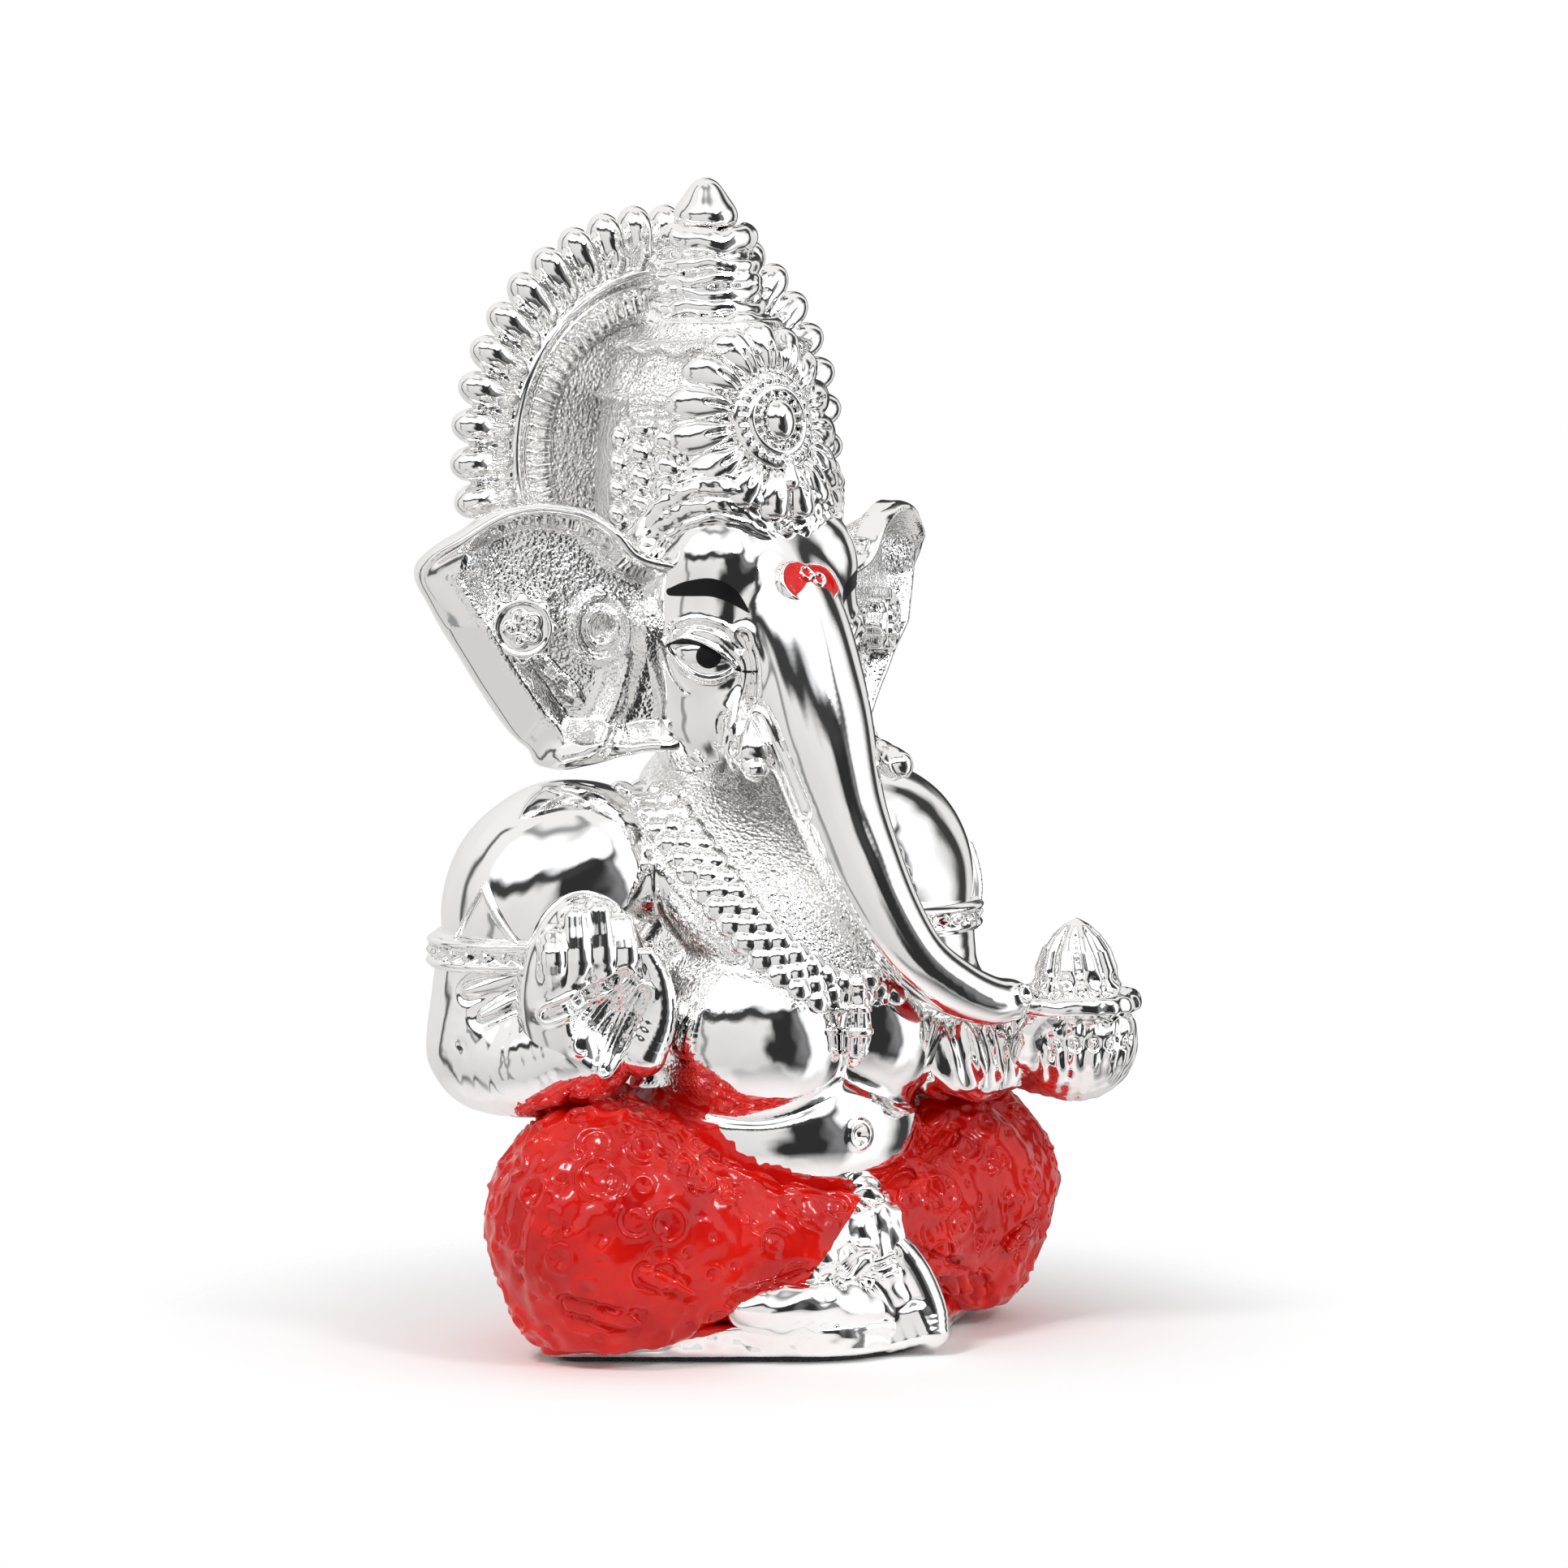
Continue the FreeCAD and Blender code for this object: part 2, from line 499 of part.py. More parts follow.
def crown_pieces(head, mark):
    """Brow band, domed crown, stacked tiers and finial; returns the crown and band."""
    crown = revolved("crown_body", [("0", "Sheet.crown_foot"), ("Sheet.crown_foot_r", "Sheet.crown_foot"),
                                    ("Sheet.crown_waist_r", "Sheet.crown_waist"),
                                    ("Sheet.crown_neck_r", "Sheet.crown_neck"), ("0", "Sheet.crown_neck")],
                     y="Sheet.crown_y")
    dome = finish(cut("crown", crown, head), "crown_dome")
    ring = doc.addObject("Part::Torus", "band_ring")
    ring.Placement.Rotation = FreeCAD.Rotation(ACROSS, size("band_tilt"))
    bind(ring, y="Sheet.band_y", z="Sheet.band_z", Radius1="Sheet.band_ring", Radius2="Sheet.band_tube")
    band = finish(cut("band", ring, head, dome, mark), "brow_band")

    profile = [("0", "0")]
    for number in range(int(size("tier_count"))):
        low, high = f"{number} * Sheet.tier_pitch", f"{number + 1} * Sheet.tier_pitch"
        middle = f"{number + 0.5} * Sheet.tier_pitch"
        profile += [("Sheet.tier_root", low), ("Sheet.tier_radius", middle)]
    profile += [("Sheet.tier_root", high), ("0", high)]
    tiers = revolved("tier_body", profile, y="Sheet.tier_y", z="Sheet.crown_neck")
    finish(tiers, "crown_tiers")

    profile = [("0", "0"), ("Sheet.finial_shoulder", "0"),
               ("Sheet.finial_radius", "0.5 * Sheet.finial_rise"),
               ("Sheet.finial_shoulder", "Sheet.finial_rise"),
               ("Sheet.finial_tip", "Sheet.finial_height"), ("0", "Sheet.finial_height")]
    knob = revolved("finial_body", profile, y="Sheet.tier_y",
                    z="Sheet.crown_neck + Sheet.tier_count * Sheet.tier_pitch")
    finish(knob, "crown_finial")
    return dome, band


def ring_of_petals(name, group, centre, turn, start, step):
    """Long petals set around a circle in the plane facing -Y, then turned as a whole."""
    petals = []
    for number in range(int(size(f"{group}_count"))):
        angle = math.radians(start + step * number)
        spoke = FreeCAD.Vector(math.cos(angle), 0, math.sin(angle))
        leaf = doc.addObject("Part::Ellipsoid", f"{name}{number}")
        leaf.Angle1, leaf.Angle2, leaf.Angle3 = -90, 90, 360
        where = centre + turn.multVec(spoke * size(f"{group}_ring"))
        lie = FreeCAD.Rotation(FreeCAD.Vector(0, 1, 0), 90 - math.degrees(angle))
        leaf.Placement = FreeCAD.Placement(where, turn.multiply(lie))
        bind(leaf, Radius1=f"Sheet.{group}_long", Radius2=f"Sheet.{group}_wide",
             Radius3=f"Sheet.{group}_deep")
        petals.append(leaf)
    return fused(name, *petals)


def crest_pieces(crown, band, head):
    """The disc on the crown's front with its centre stone and petals."""
    lean = FreeCAD.Rotation(ACROSS, -size("crest_lean"))
    facing = lean.multiply(FreeCAD.Rotation(ACROSS, 90))
    centre = FreeCAD.Vector(0, size("crest_y"), size("crest_z"))
    disc = doc.addObject("Part::Cylinder", "crest_plate")
    disc.Placement = FreeCAD.Placement(centre, facing)
    bind(disc, Radius="Sheet.crest_radius", Height="Sheet.crest_thick")
    plate = finish(cut("crest_disc", disc, crown, band, head), "crest_disc")
    front = centre + lean.multVec(FreeCAD.Vector(0, -size("crest_thick"), 0))
    stone = doc.addObject("Part::Sphere", "crest_stone")
    stone.Placement.Base = front
    bind(stone, Radius="Sheet.crest_boss")
    finish(cut("crest_boss", stone, plate, crown), "crest_boss")
    petals = ring_of_petals("crest_leaf", "crest_petal", centre, lean, 90, 360 / size("crest_petal_count"))
    finish(cut("crest_petals", petals, plate, crown, band, head), "crest_petals")


def halo_pieces(head, torso, crown, band):
    """The round plate behind the crown with its raised rim and petal edge."""
    body = new_body("halo_body")
    pad(body, circle_sketch(body, "halo_outline", "Sheet.halo_plate_r"), "Sheet.halo_thick")
    body.Placement.Rotation = FreeCAD.Rotation(ACROSS, 90)
    bind(body, y="Sheet.halo_y + Sheet.halo_thick / 2", z="Sheet.halo_z")
    plate = finish(cut("halo", body, head, torso, crown, band), "halo_plate")
    rim = doc.addObject("Part::Torus", "halo_rim_ring")
    rim.Placement.Rotation = FreeCAD.Rotation(ACROSS, 90)
    bind(rim, y="Sheet.halo_y - Sheet.halo_thick / 2", z="Sheet.halo_z",
         Radius1="Sheet.halo_rim_r", Radius2="Sheet.halo_rim_tube")
    ring = finish(cut("halo_rim", rim, plate, head, torso, crown), "halo_rim")
    span = size("petal_step") * (size("petal_count") - 1)
    centre = FreeCAD.Vector(0, size("halo_y"), size("halo_z"))
    flat = FreeCAD.Rotation()
    petals = ring_of_petals("halo_leaf", "petal", centre, flat, 90 - span / 2, size("petal_step"))
    finish(cut("halo_petals", petals, plate, ring), "halo_petals")


def check_and_write():
    """Stops on any failed feature or bad solid, then writes one STEP per sub-part."""
    doc.recompute()
    failed = [thing.Label for thing in doc.Objects if {"Invalid", "Error"} & set(thing.State)]
    if failed:
        raise RuntimeError(f"features failed: {failed}")
    os.makedirs("parts", exist_ok=True)
    for part in subparts:
        shape = part.Shape
        if shape.isNull() or not shape.isValid() or not shape.Solids:
            raise RuntimeError(f"{part.Label} is not a valid solid")
        shape.exportStep(f"parts/{part.Label}.step")
        print(f"{part.Label:20s} {len(shape.Solids):3d} solids {shape.Volume / 1000:8.3f} cm3")


write_sheet()
filler = base_pieces()
below = floor_block()
torso = torso_piece(filler, below)
legs = leg_pieces(torso, filler, below)
forearms = arm_pieces(torso, legs)
dish = hand_pieces(forearms, torso, legs)
head = head_pieces(torso)
trunk = trunk_piece(head, torso, dish)
mark = finish(cut("tilak", ellipsoid("tilak_drop", "tilak"), trunk, head), "tilak_mark")
tusk_pieces(head, trunk, torso)
ears = ear_pieces(head, torso)
necklace_pieces(torso, head, trunk, ears)
crown, band = crown_pieces(head, mark)
crest_pieces(crown, band, head)
halo_pieces(head, torso, crown, band)
check_and_write()
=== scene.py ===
"""A small seated elephant-headed idol: mirror-plated casting with a red lacquered garment.

Every piece is sculpted as a field of distances in millimetres, in the frame of the CAD
part: +Z up, the figure faces -Y and its own right side is -X. A field is negative inside.
Its surface is turned into a mesh, and the mesh takes the place of the CAD nodes it stands for.
"""
import math
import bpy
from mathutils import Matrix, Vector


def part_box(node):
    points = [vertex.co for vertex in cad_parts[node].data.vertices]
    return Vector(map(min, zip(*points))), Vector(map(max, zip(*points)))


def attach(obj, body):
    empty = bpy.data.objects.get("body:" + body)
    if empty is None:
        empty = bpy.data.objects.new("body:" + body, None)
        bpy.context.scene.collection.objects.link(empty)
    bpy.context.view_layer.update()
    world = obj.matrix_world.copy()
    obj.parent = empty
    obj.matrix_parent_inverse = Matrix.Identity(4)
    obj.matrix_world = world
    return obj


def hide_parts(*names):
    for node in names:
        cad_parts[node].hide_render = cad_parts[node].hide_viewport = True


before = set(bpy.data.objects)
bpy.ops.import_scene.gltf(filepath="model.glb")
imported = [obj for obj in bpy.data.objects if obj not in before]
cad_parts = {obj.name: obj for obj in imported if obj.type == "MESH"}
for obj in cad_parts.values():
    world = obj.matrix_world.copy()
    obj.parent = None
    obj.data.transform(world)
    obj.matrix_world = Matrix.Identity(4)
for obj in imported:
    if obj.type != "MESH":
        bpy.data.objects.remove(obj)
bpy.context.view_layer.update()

from concurrent.futures import ThreadPoolExecutor

import bpy
import numpy as np
import openvdb
from mathutils import Vector

MM = 0.001  # metres in a millimetre
FINE, PLAIN, BROAD = 0.14, 0.19, 0.24  # mesh spacings in millimetres
COARSENED = 1.0
VIEW_AZIMUTH = math.radians(-38)
VIEW_RISE = math.radians(6)


# ---------------------------------------------------------------- places from the CAD frame

def centre_of(node):
    """The middle of a CAD node, in millimetres."""
    low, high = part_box(node)
    return (np.array(low) + np.array(high)) / 2 / MM


def half_of(node):
    """Half the size of a CAD node along each axis, in millimetres."""
    low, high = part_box(node)
    return (np.array(high) - np.array(low)) / 2 / MM


# ---------------------------------------------------------------- fields of distance

def length(v):
    return np.sqrt((v * v).sum(axis=1))


def mirrored(p):
    """The same points with both sides of the figure brought onto its left (+X)."""
    q = p.copy()
    q[:, 0] = np.abs(q[:, 0])
    return q


def ellipsoid(p, centre, half, turn=None):
    q = p - np.asarray(centre, p.dtype)
    if turn is not None:
        q = q @ turn.astype(p.dtype)
    half = np.asarray(half, p.dtype)
    reach = length(q / half)
    slope = length(q / (half * half))
    return reach * (reach - 1) / np.maximum(slope, 1e-6)


def capsule(p, start, end, start_radius, end_radius):
    start, end = np.asarray(start, p.dtype), np.asarray(end, p.dtype)
    along = end - start
    share = np.clip(((p - start) @ along) / (along @ along), 0, 1)
    return length(p - start - share[:, None] * along) - (start_radius + (end_radius - start_radius) * share)


def curve(points, pieces=5):
    """Points on a smooth curve through the given points; further columns follow along."""
    points = np.asarray(points, float)
    padded = np.vstack([2 * points[0] - points[1], points, 2 * points[-1] - points[-2]])
    out = []
    for a, b, c, d in zip(padded, padded[1:], padded[2:], padded[3:]):
        for t in np.arange(pieces) / pieces:
            out.append(0.5 * (2 * b + (c - a) * t + (2 * a - 5 * b + 4 * c - d) * t ** 2
                              + (3 * b - a - 3 * c + d) * t ** 3))
    return np.array(out + [points[-1]])


def chain(p, sections, pieces=4):
    """A limb along a smooth centre line; each section is x, y, z and radius."""
    line = curve(sections, pieces)
    middle = (p.min(axis=0) + p.max(axis=0)) / 2
    spread = float(length(p - middle).max())
    parts = list(zip(line, line[1:]))
    far = [float(capsule(middle[None], a[:3], b[:3], a[3], b[3])[0]) for a, b in parts]
    limit = min(far) + 2 * spread + 0.5
    found = None
    for (a, b), gap in zip(parts, far):
        if gap <= limit:
            part = capsule(p, a[:3], b[:3], a[3], b[3])
            found = part if found is None else np.minimum(found, part)
    return found


def line_distance(p, points, reach=1.6):
    """Distance to a polyline, cut off at reach."""
    points = np.asarray(points, p.dtype)
    found = np.full(len(p), reach, p.dtype)
    close = ((p > points.min(axis=0) - reach) & (p < points.max(axis=0) + reach)).all(axis=1)
    if close.any():
        q = p[close]
        best = found[close]
        for a, b in zip(points, points[1:]):
            along = b - a
            share = np.clip(((q - a) @ along) / max(along @ along, 1e-9), 0, 1)
            best = np.minimum(best, length(q - a - share[:, None] * along))
        found[close] = best
    return found


def melt(a, b, width):
    """Union of two fields with a soft joint."""
    h = np.clip(0.5 + 0.5 * (b - a) / width, 0, 1)
    return b + (a - b) * h - width * h * (1 - h)


def keep(a, b, width=0.2):
    """What is inside both fields."""
    return -melt(-a, -b, width)


def carve(a, b, width=0.2):
    """The first field less the second."""
    return -melt(-a, b, width)


def swell(distance, width):
    """1 on a line and falling away to 0 over about width on each side."""
    return np.exp(-(distance / width) ** 2)


def step_up(value, low, high):
    """0 below low, 1 above high and smooth between."""
    t = np.clip((value - low) / (high - low), 0, 1)
    return t * t * (3 - 2 * t)


def lumps(p, scale, seed):
    """Smooth irregular waves between about -1 and 1 with the given wave length."""
    rng = np.random.default_rng(seed)
    total = np.zeros(len(p), p.dtype)
    for _ in range(7):
        wave = rng.normal(size=3)
        wave *= 2 * math.pi / scale / np.linalg.norm(wave) * rng.uniform(0.7, 1.5)
        total += np.sin(p @ wave.astype(p.dtype) + rng.uniform(0, 2 * math.pi))
    return total / 3.5


def axes(outward, upward=(0, 0, 1)):
    """Columns right, up and out of a flat patch that faces outward."""
    out = np.asarray(outward, float)
    out = out / np.linalg.norm(out)
    right = np.cross(upward, out)
    right = right / np.linalg.norm(right)
    return np.stack([right, np.cross(out, right), out], axis=1)


def patch(p, centre, frame_axes):
    """Coordinates right, up and out of points measured from a patch."""
    q = (p - np.asarray(centre, p.dtype)) @ frame_axes.astype(p.dtype)
    return q[:, 0], q[:, 1], q[:, 2]


def outline_lookup(corners, low, high, cell=0.12):
    """A quick signed distance to a smooth closed outline, negative inside."""
    ring = curve(np.vstack([corners, corners[:1]]), 6)[:-1]
    xs = np.arange(low[0], high[0], cell)
    ys = np.arange(low[1], high[1], cell)
    grid = np.stack(np.meshgrid(xs, ys, indexing="ij"), axis=-1).reshape(-1, 2)
    best = np.full(len(grid), 1e9)
    inside = np.zeros(len(grid), bool)
    for a, b in zip(ring, np.roll(ring, -1, axis=0)):
        along = b - a
        share = np.clip(((grid - a) @ along) / (along @ along), 0, 1)
        best = np.minimum(best, ((grid - a - share[:, None] * along) ** 2).sum(axis=1))
        crosses = (a[1] > grid[:, 1]) != (b[1] > grid[:, 1])
        if a[1] != b[1]:
            inside ^= crosses & (grid[:, 0] < a[0] + (grid[:, 1] - a[1]) * along[0] / along[1])
    table = np.where(inside, -np.sqrt(best), np.sqrt(best)).reshape(len(xs), len(ys)).astype(np.float32)

    def distance(x, y):
        fx = np.clip((x - low[0]) / cell, 0, len(xs) - 1.001)
        fy = np.clip((y - low[1]) / cell, 0, len(ys) - 1.001)
        i, j = fx.astype(int), fy.astype(int)
        tx, ty = fx - i, fy - j
        bottom = table[i, j] * (1 - tx) + table[i + 1, j] * tx
        top = table[i, j + 1] * (1 - tx) + table[i + 1, j + 1] * tx
        return bottom * (1 - ty) + top * ty

    return distance


# ---------------------------------------------------------------- from field to mesh

def evaluate(field, points):
    """A field's values, worked out in parallel."""
    parts = np.array_split(points.astype(np.float32), max(1, len(points) // 12000))
    with ThreadPoolExecutor(4) as pool:
        return np.concatenate(list(pool.map(field, parts)))


def slope_of(field, points, reach):
    """The field's direction of steepest rise."""
    columns = []
    for axis in range(3):
        shift = np.zeros(3)
        shift[axis] = reach
        columns.append((evaluate(field, points + shift) - evaluate(field, points - shift)) / (2 * reach))
    return np.stack(columns, axis=1)


def settle(field, points, reach, rounds=2):
    """Moves points onto the field's surface."""
    for _ in range(rounds):
        value = evaluate(field, points)
        slope = slope_of(field, points, reach / 3)
        move = value[:, None] * slope / np.maximum((slope ** 2).sum(axis=1), 0.2)[:, None]
        points = points - np.clip(move, -reach, reach)
    return points


def surface(field, low, high, step):
    """Corners and four-sided faces of a field's surface, in millimetres."""
    block = 4
    counts = np.ceil((high - low) / (step * block)).astype(int)
    index = np.indices(counts).reshape(3, -1).T
    far = evaluate(field, low + (index + 0.5) * step * block)
    reach = step * block * 1.25 + 0.8
    dense = np.where(far > 0, reach, -reach).astype(np.float32).reshape(counts)
    dense = dense.repeat(block, axis=0).repeat(block, axis=1).repeat(block, axis=2)
    near = index[np.abs(far) < reach]
    cells = near[:, None, :] * block + np.indices((block,) * 3).reshape(3, -1).T[None]
    cells = cells.reshape(-1, 3)
    dense[cells[:, 0], cells[:, 1], cells[:, 2]] = evaluate(field, low + cells * step)
    grid = openvdb.FloatGrid()
    grid.background = reach
    grid.copyFromArray(np.clip(dense, -reach, reach))
    points, _, quads = grid.convertToPolygons(isovalue=0.0, adaptivity=0.0)
    return settle(field, low + points * step, step), quads


def relaxed(points, quads, share, rounds=16):
    """Evens out a mesh where share is 1: corners move to the middle of their neighbours."""
    pairs = np.concatenate([quads[:, [a, b]] for a, b in ((0, 1), (1, 2), (2, 3), (3, 0))])
    count = np.bincount(pairs[:, 0], minlength=len(points)) + np.bincount(pairs[:, 1], minlength=len(points))
    for _ in range(rounds):
        total = np.zeros_like(points)
        for axis in range(3):
            total[:, axis] += np.bincount(pairs[:, 0], points[pairs[:, 1], axis], len(points))
            total[:, axis] += np.bincount(pairs[:, 1], points[pairs[:, 0], axis], len(points))
        points = points + 0.5 * share[:, None] * (total / np.maximum(count, 1)[:, None] - points)
    return points


def solid(name, field, low, high, step, nodes, finish, marks=None, ease=None):
    """Meshes a field and puts it in the scene in place of the CAD nodes."""
    low, high = np.array(low, float), np.array(high, float)
    points, quads = surface(field, low, high, step * COARSENED)
    if ease is not None:
        points = relaxed(points, quads, evaluate(ease, points))
    mesh = bpy.data.meshes.new(name)
    mesh.from_pydata(points * MM, [], quads)
    for key, mark in (marks or {}).items():
        layer = mesh.attributes.new(key, "FLOAT", "POINT")
        layer.data.foreach_set("value", evaluate(mark, points).astype(np.float32))
    mesh.shade_smooth()
    thing = bpy.data.objects.new(name, mesh)
    bpy.context.scene.collection.objects.link(thing)
    volume = face_volume(points, quads)
    if volume < 0:
        mesh.flip_normals()
    mesh.materials.append(finish)
    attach(thing, "root")
    if nodes:
        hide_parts(*nodes)
    print(f"{name:20s} {len(quads) * 2:7d} triangles, {abs(volume) / 1000:7.3f} cm3")
    return thing


def face_volume(points, quads):
    """Signed volume inside a closed mesh."""
    a, b, c, d = (points[quads[:, i]] for i in range(4))
    return (np.einsum("ij,ij->i", a, np.cross(b, c)) + np.einsum("ij,ij->i", a, np.cross(c, d))).sum() / 6


# ---------------------------------------------------------------- materials

def node(tree, kind, inputs=None, **settings):
    """Adds a shader node; inputs are values or other nodes' outputs."""
    made = tree.nodes.new(kind)
    for key, value in settings.items():
        setattr(made, key, value)
    for key, value in (inputs or {}).items():
        if isinstance(value, bpy.types.NodeSocket):
            tree.links.new(value, made.inputs[key])
        else:
            made.inputs[key].default_value = value
    return made


def maths(tree, operation, *values):
    return node(tree, "ShaderNodeMath", dict(enumerate(values)), operation=operation).outputs[0]


def ramp(tree, value, low, high, start=0.0, end=1.0):
    """Maps low..high of a value smoothly onto start..end."""
    made = node(tree, "ShaderNodeMapRange", {"Value": value, "From Min": low, "From Max": high,
                                             "To Min": start, "To Max": end}, interpolation_type="SMOOTHSTEP")
    return made.outputs[0]


def mark_value(tree, key):
    return node(tree, "ShaderNodeAttribute", attribute_name=key).outputs["Fac"]


def noise(tree, place, scale, detail=3.0):
    return node(tree, "ShaderNodeTexNoise", {"Vector": place, "Scale": scale, "Detail": detail}).outputs["Fac"]


def bumped(tree, height, distance, strength, normal=None):
    inputs = {"Height": height, "Distance": distance, "Strength": strength}
    if normal is not None:
        inputs["Normal"] = normal
    return node(tree, "ShaderNodeBump", inputs).outputs["Normal"]


def fresh_material(name):
    material = bpy.data.materials.new(name)
    material.use_nodes = True
    material.node_tree.nodes.clear()
    return material, material.node_tree


def plated(name, grain=0.0, tone=(0.955, 0.95, 0.94)):
    """Bright plating with red lacquer and black ink where the mesh's marks are above 1."""
    material, tree = fresh_material(name)
    place = node(tree, "ShaderNodeTexCoord").outputs["Object"]

    # Plating: cast grain where the die was left rough, and faint wear on the polish.
    rough_mark = maths(tree, "ADD", mark_value(tree, "grain"), grain)
    coarse = noise(tree, place, 2100, 2.0)
    sparkle = node(tree, "ShaderNodeTexVoronoi", {"Vector": place, "Scale": 3000.0}).outputs["Distance"]
    stipple = maths(tree, "ADD", coarse, maths(tree, "MULTIPLY", sparkle, 0.6))
    waves = noise(tree, place, 160, 1.0)
    wavy = bumped(tree, waves, 0.0002, 0.10)
    grainy = bumped(tree, stipple, 0.00032, maths(tree, "MULTIPLY", rough_mark, 0.95), wavy)
    wear = ramp(tree, noise(tree, place, 420, 5.0), 0.35, 0.75, 0.025, 0.085)
    roughness = maths(tree, "ADD", wear, maths(tree, "MULTIPLY", rough_mark, 0.07))
    metal = node(tree, "ShaderNodeBsdfPrincipled", {"Base Color": (*tone, 1), "Metallic": 1.0,
                                                   "Roughness": roughness, "Normal": grainy})

    # Lacquer: brushed on by hand, thick and glossy. Its red is mixed in random patches between a darker and a lighter
    # tone: painted shade and painted highlight.
    ragged = maths(tree, "MULTIPLY_ADD", noise(tree, place, 700, 3.0), 0.5, -0.25)
    red_edge = maths(tree, "ADD", mark_value(tree, "lacquer"), ragged)
    tint = node(tree, "ShaderNodeMix", {"Factor": ramp(tree, noise(tree, place, 190, 3.0), 0.3, 0.7),
                                        6: (0.50, 0.002, 0.001, 1), 7: (0.70, 0.010, 0.004, 1)}, data_type="RGBA")
    skin = bumped(tree, noise(tree, place, 420, 2.5), 0.0004, 0.55)
    lacquer = node(tree, "ShaderNodeBsdfPrincipled", {
        "Base Color": tint.outputs[2], "Roughness": 0.13, "Normal": skin, "Specular IOR Level": 0.42})
    ink = node(tree, "ShaderNodeBsdfPrincipled", {"Base Color": (0.004, 0.004, 0.005, 1), "Roughness": 0.45,
                                                   "Specular IOR Level": 0.2})

    painted = node(tree, "ShaderNodeMixShader", {
        0: ramp(tree, red_edge, 0.96, 1.04), 1: metal.outputs[0], 2: lacquer.outputs[0]})
    inked = node(tree, "ShaderNodeMixShader", {
        0: ramp(tree, mark_value(tree, "ink"), 0.97, 1.03), 1: painted.outputs[0], 2: ink.outputs[0]})
    node(tree, "ShaderNodeOutputMaterial", {"Surface": inked.outputs[0]})
    return material


# Black felt for the pad under the base. Its black edge also gives the thin dark line at the foot of the base: painted
# shade standing in for the shadow in the gap under it.
def felt(name):
    material, tree = fresh_material(name)
    place = node(tree, "ShaderNodeTexCoord").outputs["Object"]
    fuzz = noise(tree, place, 2600, 4.0)
    tint = node(tree, "ShaderNodeMix", {"Factor": fuzz, 6: (0.012, 0.012, 0.014, 1),
                                        7: (0.045, 0.043, 0.045, 1)}, data_type="RGBA")
    cloth = node(tree, "ShaderNodeBsdfPrincipled", {
        "Base Color": tint.outputs[2], "Roughness": 0.95, "Sheen Weight": 0.4,
        "Normal": bumped(tree, fuzz, 0.0002, 0.6)})
    node(tree, "ShaderNodeOutputMaterial", {"Surface": cloth.outputs[0]})
    return material


def cast_stone(name):
    material, tree = fresh_material(name)
    place = node(tree, "ShaderNodeTexCoord").outputs["Object"]
    speck = noise(tree, place, 900, 5.0)
    tint = node(tree, "ShaderNodeMix", {"Factor": speck, 6: (0.42, 0.40, 0.37, 1),
                                        7: (0.66, 0.64, 0.60, 1)}, data_type="RGBA")
    stone = node(tree, "ShaderNodeBsdfPrincipled", {
        "Base Color": tint.outputs[2], "Roughness": 0.85, "Normal": bumped(tree, speck, 0.0002, 0.4)})
    node(tree, "ShaderNodeOutputMaterial", {"Surface": stone.outputs[0]})
    return material


# ---------------------------------------------------------------- body

ARMLET_HEIGHT = 34.6
LOBE = dict(centre=(5.0, -9.7, 27.4), half=(8.7, 8.7, 8.9))
BIB_AXES = axes((0, -1, 1), (0, 1, 1))
NECKLACE_DROP = 30.5  # height of the V's point
NECKLACE_TOP = 48.0
NECKLACE_SPREAD = 10.5  # half its width, where it is widest


def torso_mass(p):
    """Belly, chest, shoulders and upper arms down to the armlets."""
    q = mirrored(p)
    f = ellipsoid(p, (0, -5.6, 18.5), (13.7, 12.6, 9.6))
    f = melt(f, ellipsoid(p, (0, 3.4, 17.0), (13.0, 8.6, 15.0)), 4.0)
    f = melt(f, ellipsoid(p, (0, 1.4, 32.0), (15.4, 11.4, 17.2)), 2.0)
    f = melt(f, ellipsoid(q, (15.6, 2.2, 40.4), (9.6, 8.6, 8.4)), 1.5)
    f = melt(f, ellipsoid(q, (20.3, 2.6, 37.2), (6.8, 7.6, 8.8)), 2.0)
    f = melt(f, ellipsoid(p, (0, -6.2, 40.4), (12.6, 15.4, 6.0), BIB_AXES), 0.8)
    f = melt(f, ellipsoid(q, **LOBE), 0.8)
    return f


def torso(p):
    f = torso_mass(p)
    q = mirrored(p)
    # The crease where each breast lobe hangs over the belly, and the navel.
    f = f + 0.55 * swell(ellipsoid(q, LOBE["centre"], np.array(LOBE["half"]) + 0.35), 0.45) * step_up(-p[:, 2], -23, -19)
    navel = length(p - np.array([0.0, -18.0, 18.9], p.dtype))
    f = f + 0.8 * swell(navel, 0.55) - 0.25 * swell(navel - 1.1, 0.3)
    f = f + 0.06 * lumps(p, 9.0, 3)
    # The upper arms end inside the armlets.
    beyond = keep(p[:, 2] - ARMLET_HEIGHT + 1.0, 14.6 - q[:, 0])
    return carve(f, beyond, 0.3)


def necklace_half_width(height):
    """Half the width of the necklace's V at a height: it widens quickly, then closes in at the neck."""
    share = np.clip((height - NECKLACE_DROP) / (NECKLACE_TOP - NECKLACE_DROP), 0, 1)
    return NECKLACE_SPREAD * np.sin(share ** 0.72 * math.radians(105)) ** 0.8


def necklace_line():
    """The V laid onto the front of the chest, on the figure's left."""
    heights = np.linspace(NECKLACE_DROP, NECKLACE_TOP, 26)
    across = necklace_half_width(heights)
    forward = np.arange(-22.0, 6.0, 0.1)
    x, y = np.meshgrid(across, forward, indexing="ij")
    places = np.stack([x, y, np.broadcast_to(heights[:, None], x.shape)], axis=-1)
    inside = evaluate(torso_mass, places.reshape(-1, 3)).reshape(x.shape) < 0
    return np.stack([across, forward[inside.argmax(axis=1)], heights], axis=1)[inside.any(axis=1)]


